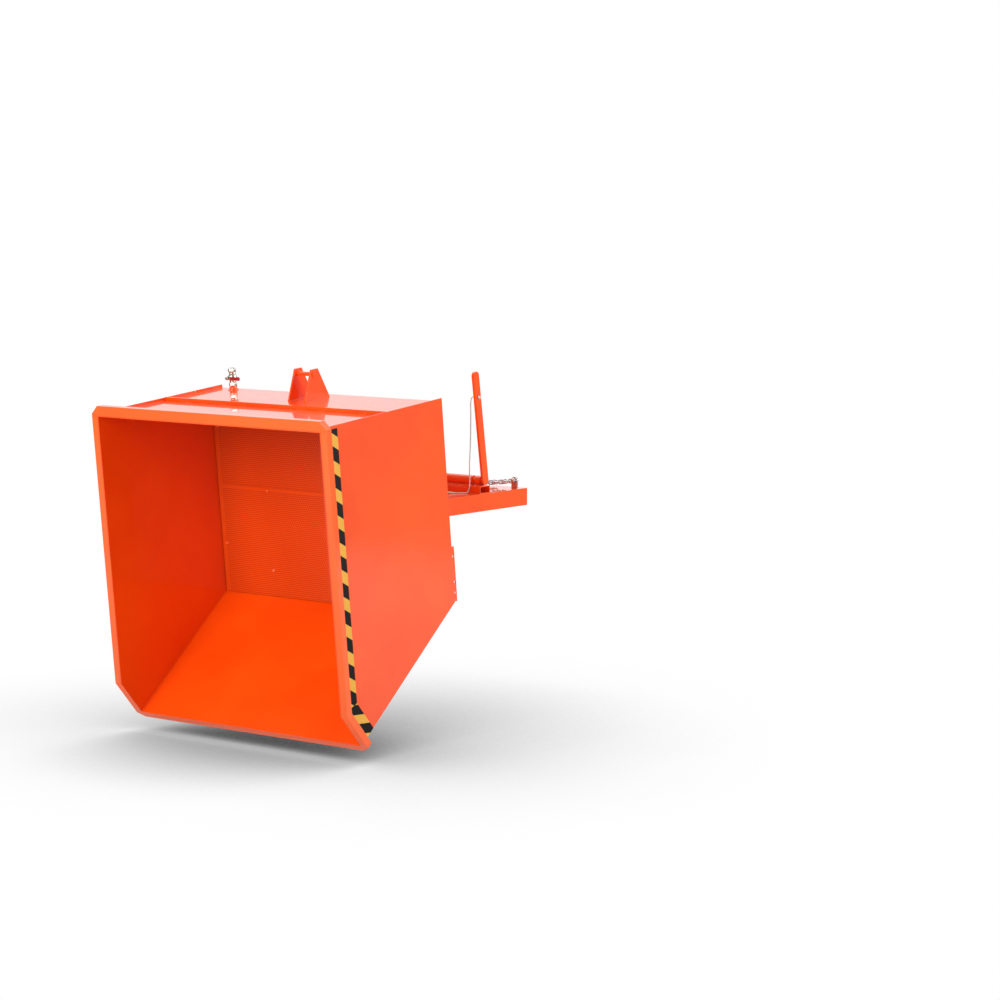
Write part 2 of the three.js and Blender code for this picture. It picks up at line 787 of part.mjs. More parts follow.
// The hook's throat lies round the catch pin when the tub is upright and the latch is closed
function latchHook() {
  const closed = latchLean + latchTravel;
  const pinY = hingePlace + catchPinY - latchShaftPlace;
  const pinZ = hingeHeight + catchPinZ - latchShaftHeight;
  const heldY = pinY * Math.cos(closed) + pinZ * Math.sin(closed);
  const heldZ = pinZ * Math.cos(closed) - pinY * Math.sin(closed);
  const throat = heldY + catchPinRadius + hookGap;
  const noseTip = heldY + catchPinRadius - hookHold;
  const noseUnder = heldZ + catchPinRadius + hookGap;
  const back = throat + hookShank;
  const eye = leverWidth / 2;
  const shape = new THREE.Shape();
  shape.absarc(0, 0, eye, Math.PI, 2 * Math.PI, false);
  shape.lineTo(back, 2 * eye);
  shape.lineTo(back, noseUnder + hookCrown - hookLead);
  shape.lineTo(throat, noseUnder + hookCrown);
  shape.lineTo(noseTip, noseUnder + hookLead);
  shape.lineTo(noseTip, noseUnder);
  shape.lineTo(throat, noseUnder);
  shape.lineTo(throat, 2 * eye);
  shape.lineTo(-eye, eye / 2);
  const bore = roundHole(0, 0, latchShaftRadius + seatGap);
  return plateX(withHoles(shape, bore), [-hookThickness / 2, hookThickness / 2]);
}

const latchShaftStart = sleeveSpans[0][0] - seatGap - collarWidth;
const latchShaftEnd = leverPlace + leverThickness / 2;
add(latch, 'latch_shaft', rodX([latchShaftStart, latchShaftEnd], 0, 0, latchShaftRadius), 'paint');
add(latch, 'release_lever', releaseLever(), 'paint');
add(latch, 'latch_hook', latchHook(), 'paint');
const collarSpan = [latchShaftStart, latchShaftStart + collarWidth];
add(latch, 'latch_collar', ringX(collarSpan, 0, 0, collarRadius, latchShaftRadius + seatGap), 'zinc');

// A closed loop or an open run of round wire through its points
function sweep(points, radius, sides, closed, spin = 0) {
  const count = points.length;
  const tangents = points.map((point, index) => {
    const before = points[closed ? (index + count - 1) % count : Math.max(index - 1, 0)];
    const after = points[closed ? (index + 1) % count : Math.min(index + 1, count - 1)];
    return new THREE.Vector3().subVectors(after, before).normalize();
  });
  const positions = [];
  const up = new THREE.Vector3(0, 0, 1);
  points.forEach((point, index) => {
    const sideways = new THREE.Vector3().crossVectors(up, tangents[index]).normalize();
    const lift = new THREE.Vector3().crossVectors(tangents[index], sideways);
    for (let corner = 0; corner < sides; corner += 1) {
      const angle = spin + 2 * Math.PI * corner / sides;
      const place = point.clone();
      place.addScaledVector(sideways, radius * Math.cos(angle));
      place.addScaledVector(lift, radius * Math.sin(angle));
      positions.push(place.x, place.y, place.z);
    }
  });
  const order = [];
  const rings = closed ? count : count - 1;
  for (let ring = 0; ring < rings; ring += 1) {
    const here = ring * sides;
    const next = ((ring + 1) % count) * sides;
    for (let corner = 0; corner < sides; corner += 1) {
      const beside = (corner + 1) % sides;
      order.push(here + corner, here + beside, next + beside);
      order.push(here + corner, next + beside, next + corner);
    }
  }
  for (let corner = 1; !closed && corner < sides - 1; corner += 1) {
    const last = (count - 1) * sides;
    order.push(0, corner + 1, corner);
    order.push(last, last + corner, last + corner + 1);
  }
  const geometry = new THREE.BufferGeometry();
  geometry.setAttribute('position', new THREE.Float32BufferAttribute(positions, 3));
  geometry.setIndex(order);
  return geometry;
}

// The safety chain: two strands that sag from one eye bolt to the other
const linkSides = 5;
const linkEndSteps = 3;

function chainLink() {
  const bend = (chainLinkWidth - chainWire) / 2;
  const straight = (chainPitch + chainWire) / 2 - bend;
  const points = [];
  [1, -1].forEach((end) => {
    for (let step = 0; step <= linkEndSteps; step += 1) {
      const angle = end * Math.PI / 2 - Math.PI * step / linkEndSteps;
      const x = Math.cos(angle) * bend + end * straight;
      const y = Math.sin(angle) * bend;
      points.push(new THREE.Vector3(x, y, 0));
    }
  });
  return sweep(points, chainWire / 2, linkSides, true);
}

const eyeX = halfFrame - eyeInset;
const eyeZ = pocketHeight + eyeHeight;

function chainStrand(y) {
  const boltToLink = chainPitch / 2 - eyeBoltRadius - eyeRunning;
  const from = eyeX - boltToLink;
  const height = (x) => eyeZ - chainSag * (1 - (x / eyeX) ** 2);
  const pairs = Math.round(from / (chainPitch + chainFuse));
  const links = [];
  for (let index = 0; index <= 2 * pairs; index += 1) {
    const x = from * (1 - index / pairs);
    const slope = Math.atan(2 * chainSag * x / eyeX ** 2);
    const link = bare(chainLink());
    link.rotateX(index % 2 === 0 ? Math.PI / 2 : 0);
    link.rotateY(-slope);
    links.push(link.translate(x, y, height(x)));
  }
  return join(...links);
}

function chainEye(side) {
  const centre = side * eyeX;
  const shape = new THREE.Shape();
  shape.moveTo(pocketHeight, centre - eyeRadius);
  shape.lineTo(eyeZ, centre - eyeRadius);
  shape.absarc(eyeZ, centre, eyeRadius, -Math.PI / 2, Math.PI / 2, false);
  shape.lineTo(pocketHeight, centre + eyeRadius);
  const plate = plateY(shape, [eyePlace - eyeThickness / 2, eyePlace + eyeThickness / 2], 8);
  const reach = eyeThickness / 2 + eyeStrandGap + chainWire + seatGap;
  const boltEnd = reach + eyeBoltHeadWidth;
  const bolt = plateY(disc(eyeZ, centre, eyeBoltRadius), [eyePlace - boltEnd, eyePlace + boltEnd], 8);
  const heads = [-1, 1].map((end) => {
    const near = eyePlace + end * reach;
    const far = near + end * eyeBoltHeadWidth;
    return plateY(disc(eyeZ, centre, eyeBoltHead), end > 0 ? [near, far] : [far, near], 3);
  });
  return join(plate, bolt, ...heads);
}

const strandOffset = eyeThickness / 2 + eyeStrandGap + chainWire / 2;
add(root, 'chain_eye_left', chainEye(-1), 'zinc');
add(root, 'chain_eye_right', chainEye(1), 'zinc');
add(root, 'safety_chain_front', chainStrand(eyePlace - strandOffset), 'zinc');
add(root, 'safety_chain_rear', chainStrand(eyePlace + strandOffset), 'zinc');

// The release cord hangs from the lever and lies across the pocket to its coil
const leverInner = leverPlace - leverThickness / 2;
const knotX = leverInner - seatGap - cordKnotRadius;
const leverKnot = new THREE.SphereGeometry(cordKnotRadius, 12, 8).translate(knotX, 0, cordHolePlace);
add(latch, 'cord_knot', leverKnot, 'cord');

const coilLow = tieTop + seatGap + coilTieThickness + seatGap + cordRadius;

function coilPoints() {
  const points = [];
  const steps = coilTurns * coilStepsPerTurn;
  for (let step = 0; step <= steps; step += 1) {
    const turn = step / coilStepsPerTurn;
    const fromMiddle = turn - coilTurns / 2;
    const radius = coilInner + coilPitch * Math.abs(fromMiddle);
    const climb = THREE.MathUtils.clamp(2 * fromMiddle + 1 / 2, 0, 1);
    const angle = 2 * Math.PI * turn;
    const x = coilCentreX - radius * Math.sin(angle);
    const y = coilCentreY + radius * Math.cos(angle);
    points.push(new THREE.Vector3(x, y, coilLow + coilPitch * climb));
  }
  const last = points[points.length - 1];
  points.unshift(points[0].clone().add(new THREE.Vector3(2 * cordRadius, 0, 0)));
  points.push(last.clone().sub(new THREE.Vector3(coilTail / 2, 0, 0)));
  points.push(last.clone().sub(new THREE.Vector3(coilTail, 0, 0)));
  return points;
}

// Least gap between two turns of the coil that aren't neighbours along the cord
function leastGap(points) {
  let least = Infinity;
  points.forEach((point, index) => {
    for (let other = index + coilStepsPerTurn / 2; other < points.length; other += 1) {
      least = Math.min(least, point.distanceTo(points[other]));
    }
  });
  return least - 2 * cordRadius;
}

const coil = coilPoints();
console.log('least gap between turns of the coil, mm:', leastGap(coil).toFixed(2));
add(root, 'cord_coil', sweep(coil, cordRadius, coilSides, false), 'cord');

const knotHeight = latchShaftHeight + cordHolePlace * Math.cos(latchLean);
const knotY = latchShaftPlace - cordHolePlace * Math.sin(latchLean);
const cordStartX = knotX - cordKnotRadius - seatGap;
const cordRoute = [
  [cordStartX, knotY, knotHeight],
  [cordStartX - 5, knotY, knotHeight],
  [cordStartX - 12, knotY - 0.5, knotHeight - 5],
  [cordStartX - 16, knotY - 1, knotHeight - 18],
  [cordStartX - 16, knotY - 2, knotHeight - 90],
  [cordStartX - 16, knotY - 4, knotHeight - 200],
  [cordStartX - 16, latchTubeFront - 4, latchTubeTop + 90],
  [cordStartX - 16, latchTubeFront - 4.5, latchTubeTop + 10],
  [cordStartX - 17, latchTubeFront - 6, latchTubeTop - 12],
  [cordStartX - 23, latchTubeFront - 13, pocketHeight + 5],
  [cordStartX - 38, latchTubeFront - 26, pocketHeight + 3],
  [cordStartX - 66, latchTubeFront - 48, pocketHeight + 3.4],
  [tiePlateWidth / 2 + 1, tiePlateRear + 14, tieTop + 3],
  [tiePlateWidth / 2 - 22, tiePlateRear - 8, tieTop + 4.2],
  [150, coilCentreY + 52, coilLow],
  [110, coilCentreY + 46, coilLow],
  [coil[0].x + 19, coil[0].y + 0.6, coilLow],
  [coil[0].x + 6, coil[0].y, coilLow],
  [coil[0].x + seatGap, coil[0].y, coilLow],
].map(([x, y, z]) => new THREE.Vector3(x, y, z));

const cordCurve = new THREE.CatmullRomCurve3(cordRoute, false, 'centripetal');
const cordSteps = 64;
const cordTube = new THREE.ExtrudeGeometry(disc(0, 0, cordRadius), {
  steps: cordSteps, extrudePath: cordCurve, bevelEnabled: false, curveSegments: 4,
});
add(root, 'release_cord', cordTube, 'cord');
const coilLength = coil.slice(1).reduce((sum, point, index) => sum + point.distanceTo(coil[index]), 0);
console.log('cord length, mm: free', cordCurve.getLength().toFixed(0), 'coil', coilLength.toFixed(0));

// The tie round the coil's turns, on the side away from the lever
function coilTie() {
  const inner = coilInner - cordRadius - seatGap - coilTieThickness;
  const outer = coilInner + coilPitch * coilTurns / 2 + cordRadius + seatGap + coilTieThickness;
  const low = tieTop + seatGap;
  const high = coilLow + coilPitch + cordRadius + seatGap + coilTieThickness;
  const wall = coilTieThickness;
  const x = [coilCentreX - outer, coilCentreX - inner];
  const bore = rectangle([low + wall, high - wall], [x[0] + wall, x[1] - wall]);
  const y = [coilCentreY - coilTieWidth / 2, coilCentreY + coilTieWidth / 2];
  return plateY(withHoles(rectangle([low, high], x), bore), y);
}
add(root, 'coil_tie', coilTie(), 'tie');

const tail = coil[coil.length - 1];
const endKnot = new THREE.SphereGeometry(cordKnotRadius, 12, 8);
endKnot.translate(tail.x - seatGap - cordKnotRadius, tail.y, tail.z);
add(root, 'cord_end_knot', endKnot, 'cord');

export default root;
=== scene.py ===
"""Looks of the self dumping hopper: finishes, welds, screws, chain, cord, valve and studio."""

import json
import math
import random

import bmesh
import bpy
from mathutils import Matrix, Vector


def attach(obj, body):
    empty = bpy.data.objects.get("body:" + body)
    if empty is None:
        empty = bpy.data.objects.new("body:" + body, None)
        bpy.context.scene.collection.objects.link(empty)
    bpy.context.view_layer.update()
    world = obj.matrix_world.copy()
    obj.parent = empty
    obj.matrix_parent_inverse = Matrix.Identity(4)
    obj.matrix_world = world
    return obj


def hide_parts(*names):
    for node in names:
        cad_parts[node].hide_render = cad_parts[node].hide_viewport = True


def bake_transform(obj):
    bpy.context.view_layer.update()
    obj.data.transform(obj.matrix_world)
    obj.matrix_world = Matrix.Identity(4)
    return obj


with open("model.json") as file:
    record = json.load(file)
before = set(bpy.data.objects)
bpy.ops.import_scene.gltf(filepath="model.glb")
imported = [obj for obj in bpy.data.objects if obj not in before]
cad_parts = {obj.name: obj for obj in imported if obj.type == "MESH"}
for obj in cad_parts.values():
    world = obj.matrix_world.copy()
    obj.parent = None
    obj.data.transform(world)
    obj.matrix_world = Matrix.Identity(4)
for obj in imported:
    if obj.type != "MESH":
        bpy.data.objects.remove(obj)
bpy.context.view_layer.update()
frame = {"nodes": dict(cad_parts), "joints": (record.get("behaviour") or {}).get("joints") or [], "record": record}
nodes = frame["nodes"]
joints = {joint["name"]: joint for joint in frame["joints"]}
random.seed(7)

# Places repeated from the part, in metres
HINGE = Vector(joints["tub_tip"]["pos_m"])
TIP_ANGLE = -math.radians(joints["tub_tip"]["range_deg"][0])
LATCH_AXIS = Vector(joints["latch_pull"]["pos_m"])
LATCH_LEAN = math.radians(8.2)
TUB = Matrix.Translation(HINGE) @ Matrix.Rotation(TIP_ANGLE, 4, "X")
LATCH = Matrix.Translation(LATCH_AXIS) @ Matrix.Rotation(LATCH_LEAN, 4, "X")

INSIDE_HALF = 0.6137
PANEL_INNER = 0.614
REAR_FACE = 0.432
REAR_INNER = 0.428
UNDERSIDE = 0.052
RIM_TOP = 0.809
RIM_UNDER = 0.779
FRONT_CORNER = -0.414
FLOOR_TOP = 0.1296
LIP = Vector((-0.8695, 0.7019))
KINK = Vector((-0.719, 0.809))
TUB_WALL = 0.004
SEAT_GAP = 0.0003
SLOPE = Vector((LIP.x - FRONT_CORNER, LIP.y - UNDERSIDE)).normalized()

POCKET_INNER = 0.155
POCKET_OUTER = 0.325
POCKET_HEIGHT = 0.076
POCKET_FRONT = -0.88

# Camera, fitted to the photograph
CAMERA_PLACE = (8.409, -10.518, 1.509)
CAMERA_BACK = (0.61273, -0.78240, 0.11143)
CAMERA_LENS = 108.5
SENSOR_WIDTH = 36
SIGHT = 200


def make_camera():
    data = bpy.data.cameras.new("camera")
    data.lens = CAMERA_LENS
    data.sensor_width = SENSOR_WIDTH
    data.clip_end = SIGHT
    camera = bpy.data.objects.new("camera", data)
    camera.location = CAMERA_PLACE
    camera.rotation_euler = Vector(CAMERA_BACK).to_track_quat("Z", "Y").to_euler()
    bpy.context.scene.collection.objects.link(camera)
    bpy.context.scene.camera = camera


make_camera()


class Finish:
    """A material with one Principled shader, and short calls for the nodes that feed it.

    The colour and the roughness given are the flat ones, for a viewer that doesn't read the nodes.
    """

    def __init__(self, name, colour, roughness, **sockets):
        self.material = bpy.data.materials.new(name)
        self.material.use_nodes = True
        self.tree = self.material.node_tree
        self.shader = self.tree.nodes["Principled BSDF"]
        flat = (*colour, 1)
        self.material.diffuse_color = flat
        self.shader.inputs["Base Color"].default_value = flat
        self.shader.inputs["Roughness"].default_value = roughness
        for socket, value in sockets.items():
            self.shader.inputs[socket.replace("_", " ")].default_value = value

    def node(self, kind, inputs=(), **settings):
        made = self.tree.nodes.new("ShaderNode" + kind)
        for key, value in settings.items():
            setattr(made, key, value)
        for key, value in dict(inputs).items():
            self.put(made.inputs[key], value)
        return made

    def put(self, socket, value):
        if isinstance(value, bpy.types.NodeSocket):
            self.tree.links.new(value, socket)
        else:
            socket.default_value = value

    def math(self, operation, *values):
        made = self.tree.nodes.new("ShaderNodeMath")
        made.operation = operation
        for index, value in enumerate(values):
            self.put(made.inputs[index], value)
        return made.outputs[0]

    def place(self):
        """The point in the part's frame, in metres."""
        return self.node("TexCoord").outputs["Object"]

    def tub_place(self):
        """The point in the upright tub's own axes, from its hinge, as three numbers."""
        back = TUB.inverted()
        inputs = {"Vector": self.place(), "Location": back.translation, "Rotation": back.to_euler()}
        turned = self.node("Mapping", inputs)
        return self.node("SeparateXYZ", {"Vector": turned.outputs[0]}).outputs

    def noise(self, scale, detail, vector=None):
        where = self.place() if vector is None else vector
        made = self.node("TexNoise", {"Vector": where, "Scale": scale, "Detail": detail})
        return made.outputs["Fac"]

    def between(self, factor, low, high, from_low=0.0, from_high=1.0):
        """Goes from low to high while the factor goes from from_low to from_high."""
        spans = {"From Min": from_low, "From Max": from_high, "To Min": low, "To Max": high}
        return self.node("MapRange", {"Value": factor, **spans}).outputs[0]

    def uneven(self, pattern, low=0.0, high=1.0, vector=None):
        """Noise from low to high. Its pattern is its scale, its detail and the span that counts."""
        scale, detail, from_low, from_high = pattern
        return self.between(self.noise(scale, detail, vector), low, high, from_low, from_high)

    def blend(self, factor, first, second):
        """From the first colour to the second. Each is three numbers or a socket."""
        made = self.node("Mix", data_type="RGBA")
        self.put(made.inputs["Factor"], factor)
        for key, colour in (("A", first), ("B", second)):
            self.put(made.inputs[key], colour if isinstance(colour, bpy.types.NodeSocket) else (*colour, 1))
        return made.outputs["Result"]

    def bump(self, height, strength, distance, normal=None):
        inputs = {"Height": height, "Strength": strength, "Distance": distance}
        if normal is not None:
            inputs["Normal"] = normal
        return self.node("Bump", inputs).outputs[0]

    def grain(self, pattern, vector=None):
        """A bump of noise. Its pattern is its scale, its detail, its strength and its depth."""
        scale, detail, strength, depth = pattern
        return self.bump(self.noise(scale, detail, vector), strength, depth)

    def use(self, socket, value):
        self.put(self.shader.inputs[socket], value)


# Powder coat. A pattern is a noise's scale, its detail, and the span of it that counts.
ORANGE = (0.93, 0.080, 0.0016)
ORANGE_DEEP = (0.88, 0.066, 0.0012)
ORANGE_PALE = (0.96, 0.092, 0.003)
# Painted light: the rim colours are a paler, yellower copy of the orange, standing in for the stronger light on
# the rims' front faces
RIM_LIGHT_PAINTED_ORANGE_DEEP = (0.94, 0.108, 0.006)
RIM_LIGHT_PAINTED_ORANGE = (0.97, 0.124, 0.009)
# Painted shade: the false floor takes a darker copy of the orange, standing in for the shade deep in the tub
FALSE_FLOOR_SHADED_ORANGE_DEEP = (0.73, 0.064, 0.002)
FALSE_FLOOR_SHADED_ORANGE = (0.78, 0.074, 0.003)
COAT_DRIFT = (2.2, 4, 0.35, 0.7)
COAT_SMEAR = (34, 5, 0.3, 0.75)
COAT_FLAT_ROUGHNESS = 0.3
COAT_ROUGHNESS = (0.28, 0.34)
COAT_TOP_ROUGHNESS = (0.036, 0.044)
COAT_SOCKETS = {"Coat_Weight": 1.0, "Coat_Roughness": 0.04, "Specular_IOR_Level": 0.2}
COAT_PEEL = (240, 2)
PEEL_DEPTH = 0.0003
PEEL_STRENGTH = 0.006

# Holes of the false floor, in staggered rows, with plain margins at the sides and at the seam. Their dark colour
# is painted shade, for the shaded space behind each hole.
HOLE_SHADE_PAINTED = (0.42, 0.024, 0.001)
HOLE_PITCH = 0.010
HOLE_RADIUS = 0.0029
HOLE_EDGE = 0.86
HOLE_DENT = (0.7, 1.25)
DENT_STRENGTH = 0.25
DENT_DEPTH = 0.001
FLOOR_PEEL_STRENGTH = 0.02
FIELD_HALF = 0.586
SEAM_MARGIN = (0.003, 0.019)


def powder_coat(name="orange_powder_coat", deep=ORANGE_DEEP, pale=ORANGE_PALE):
    finish = Finish(name, ORANGE, COAT_FLAT_ROUGHNESS, **COAT_SOCKETS)
    colour = finish.blend(finish.uneven(COAT_DRIFT), deep, pale)
    finish.use("Base Color", colour)
    finish.use("Roughness", finish.uneven(COAT_SMEAR, *COAT_ROUGHNESS))
    finish.use("Coat Roughness", finish.uneven(COAT_SMEAR, *COAT_TOP_ROUGHNESS))
    peel = finish.noise(*COAT_PEEL)
    finish.use("Normal", finish.bump(peel, PEEL_STRENGTH, PEEL_DEPTH))
    return finish, colour, peel


def perforated_coat():
    finish, colour, peel = powder_coat("perforated_shade_painted_coat", FALSE_FLOOR_SHADED_ORANGE_DEEP, FALSE_FLOOR_SHADED_ORANGE)
    across, along, _ = finish.tub_place()
    row_pitch = HOLE_PITCH * math.sqrt(3)

    def from_middle(place, pitch, offset):
        """How far the place lies from the middle of its cell."""
        cell = finish.math("FRACT", finish.math("ADD", finish.math("DIVIDE", place, pitch), offset))
        return finish.math("MULTIPLY", finish.math("SUBTRACT", cell, 0.5), pitch)

    spread = []
    for offset in (0.0, 0.5):
        x = from_middle(across, HOLE_PITCH, offset)
        y = from_middle(along, row_pitch, offset)
        squares = finish.math("ADD", finish.math("MULTIPLY", x, x), finish.math("MULTIPLY", y, y))
        spread.append(finish.math("SQRT", squares))
    beside = finish.math("GREATER_THAN", finish.math("ABSOLUTE", across), FIELD_HALF)
    past_low = finish.math("GREATER_THAN", along, SEAM_MARGIN[0])
    at_seam = finish.math("MULTIPLY", past_low, finish.math("LESS_THAN", along, SEAM_MARGIN[1]))
    plain = finish.math("MAXIMUM", beside, at_seam)
    kept_off = finish.math("MULTIPLY", plain, HOLE_PITCH)
    distance = finish.math("ADD", finish.math("MINIMUM", *spread), kept_off)
    hole = finish.between(distance, 1.0, 0.0, HOLE_RADIUS * HOLE_EDGE, HOLE_RADIUS)
    # Painted shade in the holes
    finish.use("Base Color", finish.blend(hole, colour, HOLE_SHADE_PAINTED))
    edge = finish.between(distance, 0.0, 1.0, *(HOLE_RADIUS * share for share in HOLE_DENT))
    peeled = finish.bump(peel, FLOOR_PEEL_STRENGTH, PEEL_DEPTH)
    finish.use("Normal", finish.bump(edge, DENT_STRENGTH, DENT_DEPTH, peeled))
    return finish.material


# Striped tape: its stripes run on one way to the kink of the rim, and another way past it
TAPE_YELLOW = (0.80, 0.44, 0.070)
TAPE_YELLOW_WORN = (0.74, 0.37, 0.05)
TAPE_BLACK = (0.005, 0.0048, 0.0045)
TAPE_WEAR = (180, 4, 0.3, 0.8)
TAPE_SMEAR = (180, 4, 0.3, 0.7)
TAPE_FLAT_ROUGHNESS = 0.5
TAPE_ROUGHNESS = (0.45, 0.6)
TAPE_SPECULAR = 0.12
TAPE_GRAIN = (900, 2, 0.08, 0.0002)
TAPE_NEAR = 0.041
STRIPE_PERIOD = 0.1101
STRIPE_BLACK = 0.058
STRIPE_SLANT = 0.66
STRIPE_SLANT_LOW = 0.97
STRIPE_START = 0.3813
STRIPE_SHIFT = 0.0539


def hazard_tape():
    finish = Finish("hazard_tape", TAPE_YELLOW, TAPE_FLAT_ROUGHNESS, Specular_IOR_Level=TAPE_SPECULAR)
    _, along, height = finish.tub_place()

    def past_kink(direction):
        """How far the point lies past the kink in this direction."""
        level = finish.math("MULTIPLY", finish.math("SUBTRACT", along, KINK.x), direction.x)
        upright = finish.math("MULTIPLY", finish.math("SUBTRACT", height, KINK.y), direction.y)
        return finish.math("ADD", level, upright)

    down = (LIP - KINK).normalized()
    low = finish.math("GREATER_THAN", past_kink(Vector((-1, 0)) + down), 0.0)
    depth = finish.math("SUBTRACT", RIM_TOP - TAPE_NEAR, height)
    straight = finish.math("ADD", along, finish.math("MULTIPLY", depth, STRIPE_SLANT))
    beside = past_kink(Vector((-down.y, down.x)))
    slanted = finish.math("ADD", past_kink(-down), finish.math("MULTIPLY", beside, STRIPE_SLANT_LOW))
    lower = finish.math("ADD", slanted, KINK.x + STRIPE_SHIFT)
    upper_part = finish.math("MULTIPLY", finish.math("SUBTRACT", 1.0, low), straight)
    mixed = finish.math("ADD", finish.math("MULTIPLY", low, lower), upper_part)
    turns = finish.math("DIVIDE", finish.math("SUBTRACT", STRIPE_START, mixed), STRIPE_PERIOD)
    black = finish.math("LESS_THAN", finish.math("FRACT", turns), STRIPE_BLACK / STRIPE_PERIOD)
    yellow = finish.blend(finish.uneven(TAPE_WEAR), TAPE_YELLOW, TAPE_YELLOW_WORN)
    finish.use("Base Color", finish.blend(black, yellow, TAPE_BLACK))
    finish.use("Roughness", finish.uneven(TAPE_SMEAR, *TAPE_ROUGHNESS))
    finish.use("Normal", finish.grain(TAPE_GRAIN))
    return finish.material


# Finishes with patches of two colours, uneven roughness and a grain. Ground steel is drawn out across X.
MOTTLED = {
    "bright_zinc": {
        "metallic": 1.0,
        "flat": ((0.62, 0.64, 0.67), 0.3),
        "colours": ((0.52, 0.55, 0.60), (0.74, 0.74, 0.70)),
        "patches": (60, 3, 0.35, 0.7),
        "roughness": (0.22, 0.42),
        "smears": (140, 4, 0.3, 0.7),
        "grain": (700, 2, 0.12, 0.0002),
    },
    "ground_steel": {
        "metallic": 1.0,
        "flat": ((0.23, 0.235, 0.24), 0.34),
        "colours": ((0.17, 0.17, 0.175), (0.33, 0.335, 0.34)),
        "patches": (60, 4, 0.0, 1.0),
        "roughness": (0.26, 0.46),
        "smears": (60, 4, 0.3, 0.7),
        "grain": (60, 4, 0.10, 0.0002),
        "stretch": (1.0, 24.0, 24.0),
    },
    "nickel_plate": {
        "metallic": 1.0,
        "flat": ((0.66, 0.63, 0.57), 0.2),
        "colours": ((0.60, 0.57, 0.51), (0.74, 0.71, 0.66)),
        "patches": (40, 3, 0.0, 1.0),
        "roughness": (0.14, 0.32),
        "smears": (90, 4, 0.3, 0.7),
        "grain": (900, 2, 0.06, 0.0002),
    },
    "red_vinyl": {
        "metallic": 0.0,
        "flat": ((0.34, 0.008, 0.012), 0.35),
        "colours": ((0.27, 0.006, 0.009), (0.42, 0.012, 0.016)),
        "patches": (70, 3, 0.0, 1.0),
        "roughness": (0.28, 0.45),
        "smears": (150, 3, 0.3, 0.7),
        "grain": (600, 2, 0.15, 0.0003),
    },
    "black_rubber": {
        "metallic": 0.0,
        "flat": ((0.02, 0.02, 0.021), 0.75),
        "colours": ((0.015, 0.015, 0.016), (0.055, 0.052, 0.05)),
        "patches": (45, 5, 0.4, 0.85),
        "roughness": (0.62, 0.88),
        "smears": (45, 5, 0.3, 0.7),
        "grain": (480, 3, 0.3, 0.0004),
    },
}


def mottled(name):
    look = MOTTLED[name]
    finish = Finish(name, *look["flat"], Metallic=look["metallic"])
    where = finish.place()
    if "stretch" in look:
        where = finish.node("Mapping", {"Vector": where, "Scale": look["stretch"]}).outputs[0]
    patches = finish.uneven(look["patches"], vector=where)
    finish.use("Base Color", finish.blend(patches, *look["colours"]))
    finish.use("Roughness", finish.uneven(look["smears"], *look["roughness"], where))
    finish.use("Normal", finish.grain(look["grain"], where))
    return finish.material


# White cord and the black strap round its coil
CORD_WHITE = (0.72, 0.71, 0.67)
CORD_PALE = (0.76, 0.75, 0.71)
CORD_SOILED = (0.58, 0.565, 0.52)
# Painted shade in the dips of the braid, between its strands
CORD_SHADE_PAINTED = (0.40, 0.39, 0.36)
CORD_SOIL = (25, 4, 0.35, 0.75)
CORD_ROUGHNESS = 0.8
CORD_SHEEN = 0.3
BRAID_PITCH = 0.006
BRAID_STRANDS = 3
BRAID_SHADE_END = 0.2
BRAID_STRENGTH = 0.7
BRAID_DEPTH = 0.0005


def braided_cord():
    """The cord's mesh carries its length along U and the turn round it along V."""
    finish = Finish("braided_cord", CORD_WHITE, CORD_ROUGHNESS, Sheen_Weight=CORD_SHEEN)
    place = finish.node("UVMap").outputs[0]
    along, around, _ = finish.node("SeparateXYZ", {"Vector": place}).outputs
    turns = finish.math("MULTIPLY", along, 2 * math.pi / BRAID_PITCH)
    spin = finish.math("MULTIPLY", around, 2 * math.pi * BRAID_STRANDS)
    right = finish.math("SINE", finish.math("ADD", turns, spin))
    left = finish.math("SINE", finish.math("SUBTRACT", turns, spin))
    plait = finish.math("MULTIPLY", right, left)
    pale = finish.blend(finish.uneven(CORD_SOIL), CORD_PALE, CORD_SOILED)
    # Painted shade: the plait's dips are darkened, standing in for the shade between the strands
    dip_shade = finish.between(plait, 1.0, 0.0, -1.0, BRAID_SHADE_END)
    finish.use("Base Color", finish.blend(dip_shade, pale, CORD_SHADE_PAINTED))
    finish.use("Normal", finish.bump(plait, BRAID_STRENGTH, BRAID_DEPTH))
    return finish.material


HOOK_BLACK = (0.02, 0.02, 0.022)
HOOK_DARK = (0.012, 0.012, 0.013)
HOOK_PALE = (0.06, 0.06, 0.063)
HOOK_ROUGHNESS = 0.9
HOOK_SHEEN = 0.4
HOOK_SCALE = 900.0
HOOK_STRENGTH = 0.6
HOOK_DEPTH = 0.0004


def hook_tape():
    finish = Finish("hook_and_loop_tape", HOOK_BLACK, HOOK_ROUGHNESS, Sheen_Weight=HOOK_SHEEN)
    hooks = finish.node("TexVoronoi", {"Vector": finish.place(), "Scale": HOOK_SCALE}).outputs["Distance"]
    finish.use("Base Color", finish.blend(hooks, HOOK_DARK, HOOK_PALE))
    finish.use("Normal", finish.bump(hooks, HOOK_STRENGTH, HOOK_DEPTH))
    return finish.material


PAINT = powder_coat()[0].material
# The rims' paler coat is painted light
RIM_LIGHT_PAINTED_COAT = powder_coat("rim_light_painted_coat", RIM_LIGHT_PAINTED_ORANGE_DEEP, RIM_LIGHT_PAINTED_ORANGE)[0].material
